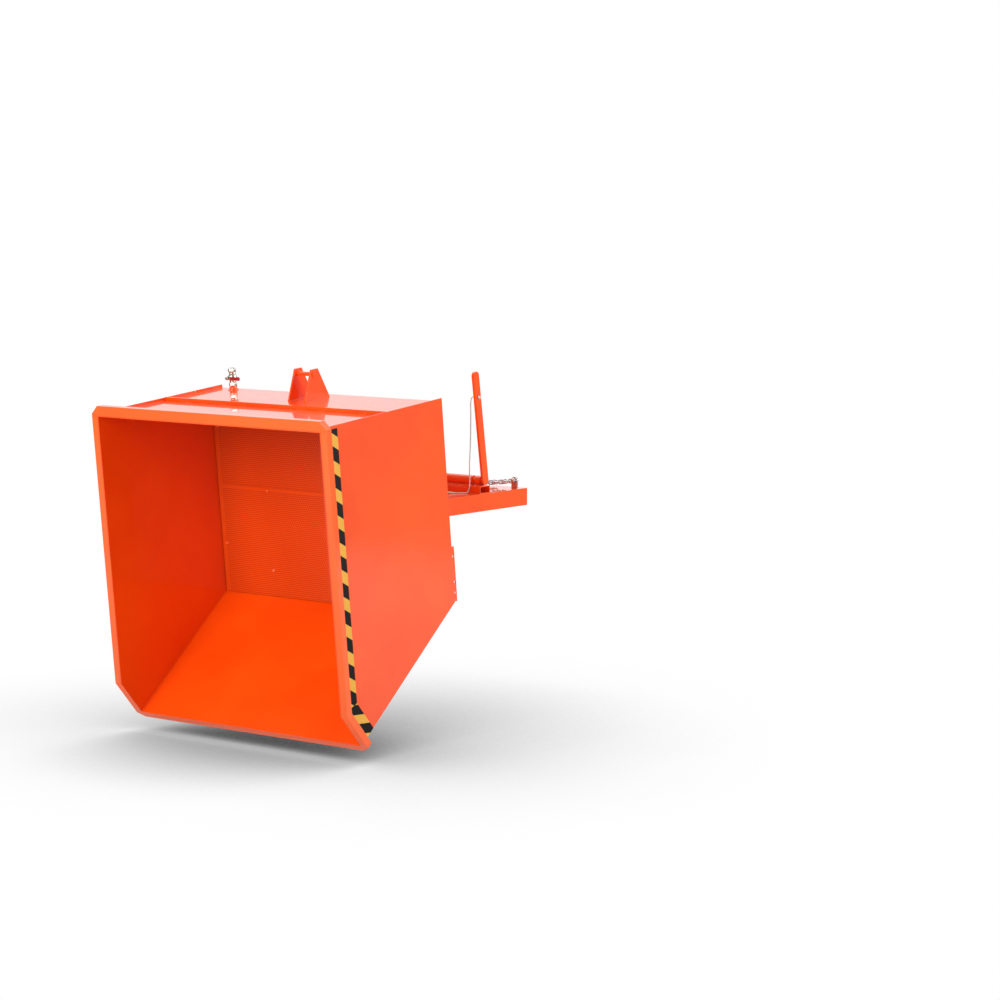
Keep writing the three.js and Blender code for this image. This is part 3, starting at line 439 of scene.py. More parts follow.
# The false floor's darker coat is painted shade
PERFORATED = perforated_coat()
ZINC = mottled("bright_zinc")
NICKEL = mottled("nickel_plate")
RED = mottled("red_vinyl")
CORD = braided_cord()
HOOK_TAPE = hook_tape()
SLOT_FINISHES = {
    "orange_paint": PAINT,
    "hazard_tape": hazard_tape(),
    "zinc_steel": ZINC,
    "dark_steel": mottled("ground_steel"),
    "nickel": NICKEL,
    "red_handle": RED,
    "rubber": mottled("black_rubber"),
    "white_cord": CORD,
    "black_tie": HOOK_TAPE,
}
# The perforated panels take the coat with painted shade, the rims the coat with painted light
NODE_FINISHES = {
    "perforated_floor_rear": PERFORATED,
    "perforated_floor_front": PERFORATED,
    "rim_rear": RIM_LIGHT_PAINTED_COAT,
    "rim_left": RIM_LIGHT_PAINTED_COAT,
    "rim_right": RIM_LIGHT_PAINTED_COAT,
    "rim_lip": RIM_LIGHT_PAINTED_COAT,
}


# Mesh helpers
SHARP_ANGLE = math.radians(38)
ROUND_SEGMENTS = 24


def finish_piece(name, bm, material, body, place=None, replaced=()):
    """Makes an object of the mesh, in the part's frame.

    It rides on its body where the body is a name. A body of four values, for a crossing from one body to another,
    is not used: the object rides on no body and keeps its place in the part's frame.
    """
    if place is not None:
        bm.transform(place)
    bmesh.ops.recalc_face_normals(bm, faces=bm.faces)
    mesh = bpy.data.meshes.new(name)
    bm.to_mesh(mesh)
    bm.free()
    mesh.materials.append(material)
    mesh.shade_smooth()
    mesh.set_sharp_from_angle(angle=SHARP_ANGLE)
    piece = bpy.data.objects.new(name, mesh)
    bpy.context.scene.collection.objects.link(piece)
    if isinstance(body, str):
        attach(piece, body)
    else:
        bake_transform(piece)
    if replaced:
        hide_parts(*replaced)
    return piece


def tube(bm, points, radius, sides, closed=False):
    """A tube along the points, of one radius or of one radius for each point."""
    count = len(points)
    radii = list(radius) if hasattr(radius, "__len__") else [radius] * count
    uv = bm.loops.layers.uv.verify()
    normal = None
    travelled = 0.0
    rings = []
    for index, point in enumerate(points):
        before = points[(index - 1) % count] if closed or index else point
        after = points[(index + 1) % count] if closed or index < count - 1 else point
        tangent = (after - before).normalized()
        if normal is None:
            normal = tangent.orthogonal().normalized()
        normal = (normal - tangent * normal.dot(tangent)).normalized()
        side = tangent.cross(normal)
        if index:
            travelled += (point - points[index - 1]).length
        ring = []
        for corner in range(sides):
            angle = 2 * math.pi * corner / sides
            offset = normal * math.cos(angle) + side * math.sin(angle)
            ring.append(bm.verts.new(point + offset * radii[index]))
        rings.append((ring, travelled))
    pairs = list(zip(rings, rings[1:])) + ([(rings[-1], rings[0])] if closed else [])
    for (here, start), (there, end) in pairs:
        for corner in range(sides):
            beside = (corner + 1) % sides
            face = bm.faces.new((here[corner], here[beside], there[beside], there[corner]))
            places = ((start, corner), (start, corner + 1), (end, corner + 1), (end, corner))
            for loop, (u, v) in zip(face.loops, places):
                loop[uv].uv = (u, v / sides)
    if not closed:
        bm.faces.new(list(reversed(rings[0][0])))
        bm.faces.new(rings[-1][0])


def hexagon(angle):
    """The reach of a hexagon of unit apothem at this angle."""
    return 1 / math.cos((angle + math.pi / 6) % (math.pi / 3) - math.pi / 6)


def join_rings(bm, rings, closed=False):
    """Walls between rings of vertices, with a cap at both ends unless the last ring joins the first."""
    for here, there in zip(rings, rings[1:] + rings[:1] if closed else rings[1:]):
        for step in range(len(here)):
            beside = (step + 1) % len(here)
            bm.faces.new((here[step], here[beside], there[beside], there[step]))
    if not closed:
        bm.faces.new(list(reversed(rings[0])))
        bm.faces.new(rings[-1])


def turned(bm, profile, place, segments, hexagonal=lambda radius: False):
    """A turned solid about local Z from (radius, height) pairs. Rings of some radii are hexagons."""
    rings = []
    for radius, height in profile:
        ring = []
        for step in range(segments):
            angle = 2 * math.pi * step / segments
            reach = radius * (hexagon(angle) if hexagonal(radius) else 1.0)
            point = Vector((reach * math.cos(angle), reach * math.sin(angle), height))
            ring.append(bm.verts.new(place @ point))
        rings.append(ring)
    join_rings(bm, rings)


def smooth_path(points, steps):
    """A centripetal Catmull-Rom curve through the points, with this many steps a span."""
    ends = [2 * points[0] - points[1], *points, 2 * points[-1] - points[-2]]
    path = []
    for p0, p1, p2, p3 in zip(ends, ends[1:], ends[2:], ends[3:]):
        t1 = (p1 - p0).length ** 0.5
        t2 = t1 + (p2 - p1).length ** 0.5
        t3 = t2 + (p3 - p2).length ** 0.5
        for step in range(steps):
            t = t1 + (t2 - t1) * step / steps
            a1 = p0.lerp(p1, t / t1)
            a2 = p1.lerp(p2, (t - t1) / (t2 - t1))
            a3 = p2.lerp(p3, (t - t2) / (t3 - t2))
            b1 = a1.lerp(a2, t / t2)
            b2 = a2.lerp(a3, (t - t1) / (t3 - t1))
            path.append(b1.lerp(b2, (t - t1) / (t2 - t1)))
    path.append(points[-1])
    return path


# Release cord: from the lever's knot over the pocket to its coil on the tie plate
CORD_RADIUS = 0.0025
CORD_SIDES = 12
CORD_STEPS = 12
KNOT_RADIUS = 0.006
KNOT_SCALE = 0.0019
KNOT_DEPTH = 1.35
KNOT_STEPS = 60
KNOT_SIDES = 10
KNOT_CORD_RADIUS = CORD_RADIUS * 0.9
LEVER_INNER = 0.299
LEVER_OUTER = 0.311
CORD_HOLE = 0.3716
COIL_TURNS = 10
COIL_INNER = 0.015
COIL_PITCH = 0.0056
COIL_CENTRE = Vector((0.060, -0.495))
COIL_STEPS = 48
COIL_TAIL = 0.028
COIL_CLIMB_TURNS = 0.5
TIE_TOP = 0.081
TIE_THICKNESS = 0.001
TIE_WIDTH = 0.008
TIE_CORNER = 0.003
TIE_CORNER_STEPS = 4
COIL_LOW = TIE_TOP + SEAT_GAP + TIE_THICKNESS + SEAT_GAP + CORD_RADIUS
LATCH_TUBE_FRONT = -0.336
LATCH_TUBE_TOP = 0.110
HANGING_MARGIN = 0.020


def coil_points():
    """Half the turns wind inwards on the lower layer, and the others outwards on the upper one."""
    points = []
    for step in range(COIL_TURNS * COIL_STEPS + 1):
        turn = step / COIL_STEPS
        from_middle = turn - COIL_TURNS / 2
        radius = COIL_INNER + COIL_PITCH * abs(from_middle)
        climb = min(max(from_middle / COIL_CLIMB_TURNS + 0.5, 0), 1)
        angle = 2 * math.pi * turn
        x = COIL_CENTRE.x - radius * math.sin(angle)
        y = COIL_CENTRE.y + radius * math.cos(angle)
        points.append(Vector((x, y, COIL_LOW + COIL_PITCH * climb)))
    last = points[-1]
    points.insert(0, points[0] + Vector((2 * CORD_RADIUS, 0, 0)))
    points.append(last - Vector((COIL_TAIL / 2, 0, 0)))
    points.append(last - Vector((COIL_TAIL, 0, 0)))
    return points


def cord_route(first_of_coil):
    """Its points are listed: down from the knot, over the tube and the pocket, to the coil."""
    knot_x = LEVER_INNER - SEAT_GAP - KNOT_RADIUS
    start_x = knot_x - KNOT_RADIUS - SEAT_GAP
    knot_z = LATCH_AXIS.z + CORD_HOLE * math.cos(LATCH_LEAN)
    knot_y = LATCH_AXIS.y - CORD_HOLE * math.sin(LATCH_LEAN)
    front = LATCH_TUBE_FRONT
    return [
        Vector(point)
        for point in (
            (start_x, knot_y, knot_z),
            (start_x - 0.005, knot_y, knot_z),
            (start_x - 0.012, knot_y - 0.0005, knot_z - 0.005),
            (start_x - 0.016, knot_y - 0.001, knot_z - 0.018),
            (start_x - 0.016, knot_y - 0.002, knot_z - 0.090),
            (start_x - 0.016, knot_y - 0.004, knot_z - 0.200),
            (start_x - 0.016, front - 0.004, LATCH_TUBE_TOP + 0.090),
            (start_x - 0.016, front - 0.0045, LATCH_TUBE_TOP + 0.010),
            (start_x - 0.017, front - 0.006, LATCH_TUBE_TOP - 0.012),
            (start_x - 0.023, front - 0.013, POCKET_HEIGHT + 0.005),
            (start_x - 0.038, front - 0.026, POCKET_HEIGHT + 0.003),
            (start_x - 0.066, front - 0.048, POCKET_HEIGHT + 0.0034),
            (0.201, -0.406, TIE_TOP + 0.003),
            (0.178, -0.428, TIE_TOP + 0.0042),
            (0.150, COIL_CENTRE.y + 0.052, COIL_LOW),
            (0.110, COIL_CENTRE.y + 0.046, COIL_LOW),
            (first_of_coil.x + 0.019, first_of_coil.y + 0.0006, COIL_LOW),
            (first_of_coil.x + 0.006, first_of_coil.y, COIL_LOW),
        )
    ]


def knot_points(centre):
    """An overhand knot pulled small: an open run along a three-lobed loop."""
    points = []
    for step in range(KNOT_STEPS + 1):
        angle = 2 * math.pi * step / KNOT_STEPS
        x = math.sin(angle) + 2 * math.sin(2 * angle)
        y = math.cos(angle) - 2 * math.cos(2 * angle)
        z = -KNOT_DEPTH * math.sin(3 * angle)
        points.append(centre + Vector((z, x, y)) * KNOT_SCALE)
    return points


def make_cord():
    coil = coil_points()
    path = smooth_path(cord_route(coil[0]), CORD_STEPS) + coil
    bm = bmesh.new()
    tube(bm, path, CORD_RADIUS, CORD_SIDES)
    hanging_low = Vector((path[0].x, path[0].y, LATCH_TUBE_TOP + HANGING_MARGIN))
    hanging_high = path[0] - Vector((0, 0, HANGING_MARGIN))
    crossing = ("base_frame", "latch", hanging_low, hanging_high)
    cord = finish_piece("release_cord_line", bm, CORD, crossing,
                        replaced=("release_cord", "cord_coil"))
    end = path[-1] - Vector((SEAT_GAP + KNOT_RADIUS, 0, 0))
    bm = bmesh.new()
    tube(bm, knot_points(end), KNOT_CORD_RADIUS, KNOT_SIDES)
    end_knot = finish_piece("end_knot", bm, CORD, "base_frame", replaced=("cord_end_knot",))
    bm = bmesh.new()
    knots = [Vector((x, 0, CORD_HOLE)) for x in (LEVER_INNER - KNOT_RADIUS, LEVER_OUTER + KNOT_RADIUS)]
    for knot in knots:
        tube(bm, knot_points(knot), KNOT_CORD_RADIUS, KNOT_SIDES)
    tube(bm, knots, CORD_RADIUS, CORD_SIDES)
    lever_knot = finish_piece("lever_knot", bm, CORD, "latch", LATCH, ("cord_knot",))
    tie = make_tie()


def make_tie():
    """A flat strap looped round the coil's turns, with rounded corners."""
    inner = COIL_INNER - CORD_RADIUS - SEAT_GAP - TIE_THICKNESS
    outer = COIL_INNER + COIL_PITCH * COIL_TURNS / 2 + CORD_RADIUS + SEAT_GAP + TIE_THICKNESS
    low = TIE_TOP + SEAT_GAP
    high = COIL_LOW + COIL_PITCH + CORD_RADIUS + SEAT_GAP + TIE_THICKNESS
    left = COIL_CENTRE.x - outer + TIE_CORNER
    right = COIL_CENTRE.x - inner - TIE_CORNER
    below = low + TIE_CORNER
    above = high - TIE_CORNER

    def loop(inset):
        points = []
        bend = TIE_CORNER - inset
        for x, z, first in ((right, below, -90), (right, above, 0), (left, above, 90), (left, below, 180)):
            for step in range(TIE_CORNER_STEPS + 1):
                angle = math.radians(first + 90 * step / TIE_CORNER_STEPS)
                points.append((x + bend * math.cos(angle), z + bend * math.sin(angle)))
        return points

    bm = bmesh.new()
    rings = []
    for inset in (0.0, TIE_THICKNESS):
        for side in (-TIE_WIDTH / 2, TIE_WIDTH / 2):
            rings.append([bm.verts.new((x, COIL_CENTRE.y + side, z)) for x, z in loop(inset)])
    outer_near, outer_far, inner_near, inner_far = rings
    join_rings(bm, [outer_near, outer_far, inner_far, inner_near], closed=True)
    return finish_piece("coil_strap", bm, HOOK_TAPE, "base_frame", replaced=("coil_tie",))


make_cord()


# The CAD pieces keep their shape and get their finish, softened edges and smooth rounds
EDGE_WIDTHS = {
    "orange_paint": 0.0007,
    "hazard_tape": 0.0002,
    "zinc_steel": 0.0006,
    "dark_steel": 0.0008,
    "nickel": 0.0006,
    "red_handle": 0.0008,
    "rubber": 0.003,
}
EDGE_SEGMENTS = 2
MERGE_DISTANCE = 0.00001


def dress_cad_nodes():
    for part in frame["record"]["subparts"]:
        node, slot = nodes[part["node"]], part["material_slot"]
        if node.hide_render:
            continue
        mesh = node.data
        mesh.materials.clear()
        mesh.materials.append(NODE_FINISHES.get(part["node"], SLOT_FINISHES[slot]))
        if mesh.has_custom_normals:
            custom = mesh.attributes.get("custom_normal")
            if custom:
                mesh.attributes.remove(custom)
        mesh.shade_smooth()
        weld = node.modifiers.new("weld", "WELD")
        weld.merge_threshold = MERGE_DISTANCE
        bevel = node.modifiers.new("bevel", "BEVEL")
        bevel.width = EDGE_WIDTHS[slot]
        bevel.segments = EDGE_SEGMENTS
        bevel.limit_method = "ANGLE"
        bevel.angle_limit = SHARP_ANGLE
        bevel.harden_normals = True


# Drain valve: nickel body with hexagon ends, and its lever
DRAIN = Vector((-0.512, 0.4486, 0.091))
VALVE_LENGTH = 0.078
BODY_SEGMENTS = 40
BALL_RADIUS = 0.020
BALL_DEGREES = range(-44, 45, 8)
STEM_TOP = 0.032
FOOT_RADIUS = 0.006
NECK = 0.0142
NECK_INSET = 0.0005
SHOULDER = 0.0006
SHOULDER_HEIGHTS = (0.003, 0.005)
THREADS = 5
THREAD_STEP = 0.0009
THREAD_ROOT = 0.0004
THREAD_START = 0.0055
BORE = 0.011
BORE_DEPTH = 0.024
BORE_TIP_DEPTH = 0.026
BORE_TIP = 0.2
HEX_LENGTH = 0.017
HEX_APOTHEM = 0.0158
HEX_CHAMFER = 0.0015
HEX_FACE = 0.93
HEX_OVERLAP = 0.001
HEX_SEGMENTS = 36
# How far a ring may reach towards the hexagon's corners
ROUND = 1.0
CHAMFERED = 1.1
WHOLE = 1.2
# Stem and packing nut: radius, and height over the ball
GLAND = (
    (0.0095, -0.004),
    (0.0095, 0.002),
    (0.0082, 0.003),
    (0.0082, 0.008),
    (0.0072, 0.009),
    (0.0045, 0.009),
)
STEM_RADIUS = 0.0045


def valve_place():
    """Local Z runs along the valve, away from the rear wall; local Y points up its stem."""
    axes = Matrix(((1, 0, 0), (0, 0, 1), (0, 1, 0))).to_4x4()
    return TUB @ Matrix.Translation(DRAIN) @ axes


def valve_profile():
    """Radius and height of the round part: neck, ball, thread, neck, bore."""
    profile = [(FOOT_RADIUS, NECK_INSET), (NECK, NECK_INSET)]
    profile.append((NECK, HEX_LENGTH + SHOULDER_HEIGHTS[0]))
    profile.append((NECK + SHOULDER, HEX_LENGTH + SHOULDER_HEIGHTS[1]))
    for degrees in BALL_DEGREES:
        angle = math.radians(degrees)
        profile.append((BALL_RADIUS * math.cos(angle), VALVE_LENGTH / 2 + BALL_RADIUS * math.sin(angle)))
    hex_start = VALVE_LENGTH - HEX_LENGTH
    profile.append((NECK + SHOULDER, hex_start - THREAD_START))
    for step in range(THREADS):
        swell = SHOULDER if step % 2 else -THREAD_ROOT
        profile.append((NECK + swell, hex_start - THREAD_STEP * (THREADS - step)))
    profile.append((NECK, VALVE_LENGTH - NECK_INSET))
    profile.append((BORE, VALVE_LENGTH - NECK_INSET))
    profile.append((BORE, VALVE_LENGTH - BORE_DEPTH))
    profile.append((BORE * BORE_TIP, VALVE_LENGTH - BORE_TIP_DEPTH))
    return profile


def make_valve_body():
    bm = bmesh.new()
    turned(bm, valve_profile(), Matrix.Identity(4), BODY_SEGMENTS)
    hex_ring(bm, 0.0, NECK - HEX_OVERLAP)
    hex_ring(bm, VALVE_LENGTH - HEX_LENGTH, BORE)
    up = Matrix.Translation((0, 0, VALVE_LENGTH / 2)) @ Matrix.Rotation(-math.pi / 2, 4, "X")
    gland = [(radius, BALL_RADIUS + height) for radius, height in GLAND]
    turned(bm, gland + [(STEM_RADIUS, STEM_TOP)], up, ROUND_SEGMENTS)
    finish_piece("valve_casting", bm, NICKEL, "tub", valve_place(), ("valve_body",))


def hex_ring(bm, low, bore):
    """An end of the valve from this height on: a hexagon outside with chamfered ends, a round bore."""
    high = low + HEX_LENGTH
    profile = (
        (HEX_APOTHEM * HEX_FACE, low, CHAMFERED),
        (HEX_APOTHEM, low + HEX_CHAMFER, WHOLE),
        (HEX_APOTHEM, high - HEX_CHAMFER, WHOLE),
        (HEX_APOTHEM * HEX_FACE, high, CHAMFERED),
        (bore, high, ROUND),
        (bore, low, ROUND),
    )
    rings = []
    for radius, height, corner in profile:
        ring = []
        for step in range(HEX_SEGMENTS):
            angle = 2 * math.pi * step / HEX_SEGMENTS
            reach = radius * min(hexagon(angle), corner)
            ring.append(bm.verts.new((reach * math.cos(angle), reach * math.sin(angle), height)))
        rings.append(ring)
    join_rings(bm, rings, closed=True)


HANDLE_WIDTH = 0.016
BAR_SIDES = 16
BAR_ROUNDING = 0.45
# Stations of the lever and its sleeve: place along it, middle height, share of its width, half thickness
LEVER_STATIONS = (
    (-0.007, 0.0012, 0.55, 0.0012),
    (-0.0044, 0.0012, 0.9, 0.0012),
    (0.004, 0.0012, 1.0, 0.0012),
    (0.010, 0.0012, 0.92, 0.0012),
    (0.014, 0.0022, 0.9, 0.0012),
    (0.024, 0.0026, 0.88, 0.0012),
)
SLEEVE_STATIONS = (
    (0.0185, 0.0026, 0.82, 0.0018),
    (0.0195, 0.0026, 0.98, 0.0026),
    (0.030, 0.0026, 0.96, 0.0027),
    (0.050, 0.0026, 1.0, 0.0028),
    (0.068, 0.0026, 1.0, 0.0028),
    (0.072, 0.0026, 0.86, 0.0026),
    (0.0737, 0.0026, 0.5, 0.0016),
)
# Nut on the stem: radius and height. The end of the stem in it is round, so its radius is under the least.
NUT = (
    (0.0062, 0.002),
    (0.0068, 0.0028),
    (0.0068, 0.0078),
    (0.0062, 0.0086),
    (0.0035, 0.0088),
    (0.0035, 0.0102),
)
NUT_LEAST_RADIUS = 0.005


def bar_along_x(bm, stations):
    """A flat bar with rounded edges through the stations."""
    rings = []
    for x, height, width_share, half_thickness in stations:
        half_width = width_share * HANDLE_WIDTH / 2
        ring = []
        for step in range(BAR_SIDES):
            angle = 2 * math.pi * (step + 0.5) / BAR_SIDES
            c, s = math.cos(angle), math.sin(angle)
            y = half_width * math.copysign(abs(c) ** BAR_ROUNDING, c)
            z = half_thickness * math.copysign(abs(s) ** BAR_ROUNDING, s)
            ring.append(bm.verts.new((x, y, height + z)))
        rings.append(ring)
    join_rings(bm, rings)


def make_valve_handle():
    place = TUB @ Matrix.Translation(DRAIN + Vector((0, VALVE_LENGTH / 2, STEM_TOP + SEAT_GAP)))
    bm = bmesh.new()
    bar_along_x(bm, LEVER_STATIONS)
    turned(bm, NUT, Matrix.Identity(4), ROUND_SEGMENTS, lambda radius: radius > NUT_LEAST_RADIUS)
    finish_piece("valve_lever_steel", bm, NICKEL, "drain_handle", place)
    bm = bmesh.new()
    bar_along_x(bm, SLEEVE_STATIONS)
    finish_piece("valve_lever_sleeve", bm, RED, "drain_handle", place, ("valve_handle",))


# Safety chain: the links of the two stowed strands, each a loop of round wire
CHAIN_WIRE = 0.0058
WIRE_SIDES = 10
LINK_PAIRS = 10
LINK_BEND = 0.008
LINK_BEND_STEPS = 10
LINK_OVERLAP = 0.00585
LINK_ROLL = 0.07
CHAIN_SAG = 0.024
EYE_X = 0.290
EYE_Z = 0.110
EYE_Y = -0.045
STRAND_OFFSET = 0.012
BOLT_TO_LINK = 0.0089


def make_chain(name, y, node):
    bm = bmesh.new()
    start = EYE_X - BOLT_TO_LINK
    spacing = start / LINK_PAIRS
    straight = (spacing + LINK_OVERLAP) / 2 - LINK_BEND
    loop = []
    for end in (1, -1):
        for step in range(LINK_BEND_STEPS + 1):
            angle = end * math.pi / 2 - math.pi * step / LINK_BEND_STEPS
            reach = math.cos(angle) * LINK_BEND + end * straight
            loop.append(Vector((reach, math.sin(angle) * LINK_BEND, 0)))
    for index in range(2 * LINK_PAIRS + 1):
        x = start * (1 - index / LINK_PAIRS)
        drop = CHAIN_SAG * (1 - (x / EYE_X) ** 2)
        slope = math.atan(2 * CHAIN_SAG * x / EYE_X ** 2)
        roll = math.pi / 2 * ((index + 1) % 2) + random.uniform(-LINK_ROLL, LINK_ROLL)
        place = Matrix.Translation((x, y, EYE_Z - drop)) @ Matrix.Rotation(-slope, 4, "Y")
        place = place @ Matrix.Rotation(roll, 4, "X")
        tube(bm, [place @ point for point in loop], CHAIN_WIRE / 2, WIRE_SIDES, closed=True)
    finish_piece(name, bm, ZINC, "base_frame", replaced=(node,))


# Painted button screws of the false floor, each on the collar of its panel. They take the paler rim coat, painted
# light that stands in for a highlight on each head.
SCREW_RADIUS = 0.0068
SCREW_FOOT = 0.97
SCREW_LOW = 0.0031
SCREW_RISE = 0.0026
SCREW_EDGE = 0.0007
SCREW_DOME_DEGREES = (15, 27, 39, 51, 63)
SOCKET_APOTHEM = 0.0023
SOCKET_DEPTH = 0.0016
SOCKET_TIP = 0.3
SOCKET_TIP_DEPTH = 1.1
REAR_SCREW_SHARES = ((-0.953, 0.632), (0.953, 0.632))
FRONT_SCREW_SHARES = (
    (-0.953, 0.549),
    (-0.525, 0.0286),
    (-0.525, 0.765),
    (0.525, 0.0286),
    (0.525, 0.765),
    (0.953, 0.549),
)
SEAM = 0.020
FLOOR_REAR_EDGE = 0.425
FLOOR_FRONT_EDGE = -0.4585


def screw_profile():
    """Radius and height of a screw's head: its dome, then its hexagon socket."""
    profile = [(SCREW_RADIUS * SCREW_FOOT, 0.0), (SCREW_RADIUS, SCREW_EDGE)]
    for degrees in SCREW_DOME_DEGREES:
        angle = math.radians(degrees)
        profile.append((SCREW_RADIUS * math.cos(angle), SCREW_EDGE + SCREW_RISE * math.sin(angle)))
    top = profile[-1][1]
    profile.append((SOCKET_APOTHEM, top))
    profile.append((SOCKET_APOTHEM, top - SOCKET_DEPTH))
    profile.append((SOCKET_APOTHEM * SOCKET_TIP, top - SOCKET_DEPTH * SOCKET_TIP_DEPTH))
    return profile


def make_floor_screws():
    bm = bmesh.new()
    profile = screw_profile()
    for shares, far in ((REAR_SCREW_SHARES, FLOOR_REAR_EDGE), (FRONT_SCREW_SHARES, FLOOR_FRONT_EDGE)):
        for across, along in shares:
            y = SEAM + (far - SEAM) * along
            spin = Matrix.Rotation(random.uniform(0, math.pi), 4, "Z")
            place = Matrix.Translation((across * INSIDE_HALF, y, FLOOR_TOP + SCREW_LOW)) @ spin
            turned(bm, profile, place, ROUND_SEGMENTS, lambda radius: radius <= SOCKET_APOTHEM)
    finish_piece("floor_screws", bm, RIM_LIGHT_PAINTED_COAT, "tub", TUB)


# Weld beads: rippled runs along the joints between the plates
RIPPLE = 0.0036
RIPPLE_LOW = 0.86
BEAD_SPREAD = (0.97, 1.03)
BEAD_SIDES = 8
BEAD_LEAST_STEPS = 4
BEAD_END = 0.45
BEAD_END_GROWTH = 0.28
RING_SIDES = 6
RING_LEAST_STEPS = 24

# Radii of the beads
THIN_BEAD = 0.0022
SHEET_BEAD = 0.0024
TUBE_BEAD = 0.0026
CATCH_BEAD = 0.0028
THICK_BEAD = 0.0030
SLOPE_BEAD = 0.0032

# Joints of the tub, in its own axes. A stitch is its length and its spacing.
WALL_WELD_MARGIN = 0.004
CORNER_WELD_MARGIN = 0.002
RIB_EDGES = (0.402, 0.410)
RIB_WELD = (0.60, 0.06)
RIB_STITCH = (0.035, 0.11)
CATCH_X = 0.045
CATCH_HALF = 0.004
CATCH_WELD = (UNDERSIDE + 0.050, UNDERSIDE + 0.203)
BOTTOM_WELD_START = FRONT_CORNER + 0.004
FOOT_X = INSIDE_HALF - 0.006
FOOT_WELD = (FRONT_CORNER + 0.006, FRONT_CORNER + 0.226)
FOOT_STITCH = (0.04, 0.1)
LUG_X = 0.240
LUG_HALF = 0.006
LUG_TOP = UNDERSIDE - 0.0063
LUG_WELD = (-0.030, 0.030)
PAD_HALF = 0.075
PAD_WELD = (-0.060, 0.060)
PAD_STITCH = (0.05, 0.06)
DRAIN_WELD_RADIUS = 0.0235

# Joints of the base frame
CROSS_TUBE_EDGES = (-0.336, -0.266, -0.630, -0.570)
TIE_TUBES = ((POCKET_FRONT, POCKET_FRONT + 0.060), (-0.150, -0.090))
TIE_TUBE_HEIGHTS = (0.008, 0.068)
TIE_PLATE_X = 0.200
TIE_PLATE_WELD = (-0.568, -0.422)
TIE_PLATE_STITCH = (0.035, 0.055)
EAR_PLACES = (0.200, 0.280)
EAR_HALF = 0.005
EAR_WELD = (-0.876, -0.804)
EYE_WELD = (0.275, 0.305)
EYE_HALF = 0.004
SLEEVES = ((-0.150, -0.040), (0.040, 0.246), (0.262, 0.290))
SLEEVE_HALF = 0.010
SLEEVE_WELD_HEIGHT = LATCH_TUBE_TOP + 0.001


def bead(bm, start, end, radius, stitch=None):
    """A bead from start to end, or stitches of (length, spacing) along it."""
    start, end = Vector(start), Vector(end)
    whole = (end - start).length
    spans = [(0.0, whole)]
    if stitch:
        length, spacing = stitch
        count = max(1, int(whole // spacing))
        first = (whole - (count - 1) * spacing - length) / 2
        spans = [(first + index * spacing, first + index * spacing + length) for index in range(count)]
    direction = (end - start).normalized()
    for low, high in spans:
        steps = max(BEAD_LEAST_STEPS, round((high - low) / (RIPPLE / 2)))
        points, radii = [], []
        for step in range(steps + 1):
            share = step / steps
            points.append(start + direction * (low + (high - low) * share))
            swell = 1.0 if step % 2 else RIPPLE_LOW
            taper = min(1.0, BEAD_END + min(step, steps - step) * BEAD_END_GROWTH)
            radii.append(radius * swell * taper * random.uniform(*BEAD_SPREAD))
        tube(bm, points, radii, BEAD_SIDES)


def beads_along_x(bm, span, places, z, radius, stitch=None):
    """A bead along X for each of the places along Y."""
    for y in places:
        bead(bm, (span[0], y, z), (span[1], y, z), radius, stitch)


def beads_along_y(bm, places, span, z, radius, stitch=None):
    """A bead along Y for each of the places along X."""
    for x in places:
        bead(bm, (x, span[0], z), (x, span[1], z), radius, stitch)


def ring_bead(bm, centre, across, up, radius, bead_radius):
    """A bead that runs round the centre."""
    steps = max(RING_LEAST_STEPS, round(2 * math.pi * radius / (RIPPLE / 2)))
    points, radii = [], []
    for step in range(steps):
        angle = 2 * math.pi * step / steps
        points.append(centre + across * radius * math.cos(angle) + up * radius * math.sin(angle))
        radii.append(bead_radius * (1.0 if step % 2 else RIPPLE_LOW))
    tube(bm, points, radii, RING_SIDES, closed=True)


def both(middle, half):
    """The places on both sides of the middle."""
    return middle - half, middle + half


def slope_inner(height):
    """The sloped wall's inner face at this height, in the tub's own axes."""
    return FRONT_CORNER + (height - UNDERSIDE) * SLOPE.x / SLOPE.y + TUB_WALL / SLOPE.y


def weld_tub_inside():
    bm = bmesh.new()
    top = LIP.y - WALL_WELD_MARGIN
    rear_top = RIM_TOP - WALL_WELD_MARGIN
    for side in (-1, 1):
        x = side * INSIDE_HALF
        bead(bm, (x, slope_inner(FLOOR_TOP), FLOOR_TOP), (x, slope_inner(top), top), SLOPE_BEAD)
        bead(bm, (x, REAR_INNER, FLOOR_TOP), (x, REAR_INNER, rear_top), THICK_BEAD)
    finish_piece("weld_beads_inside", bm, PAINT, "tub", TUB)


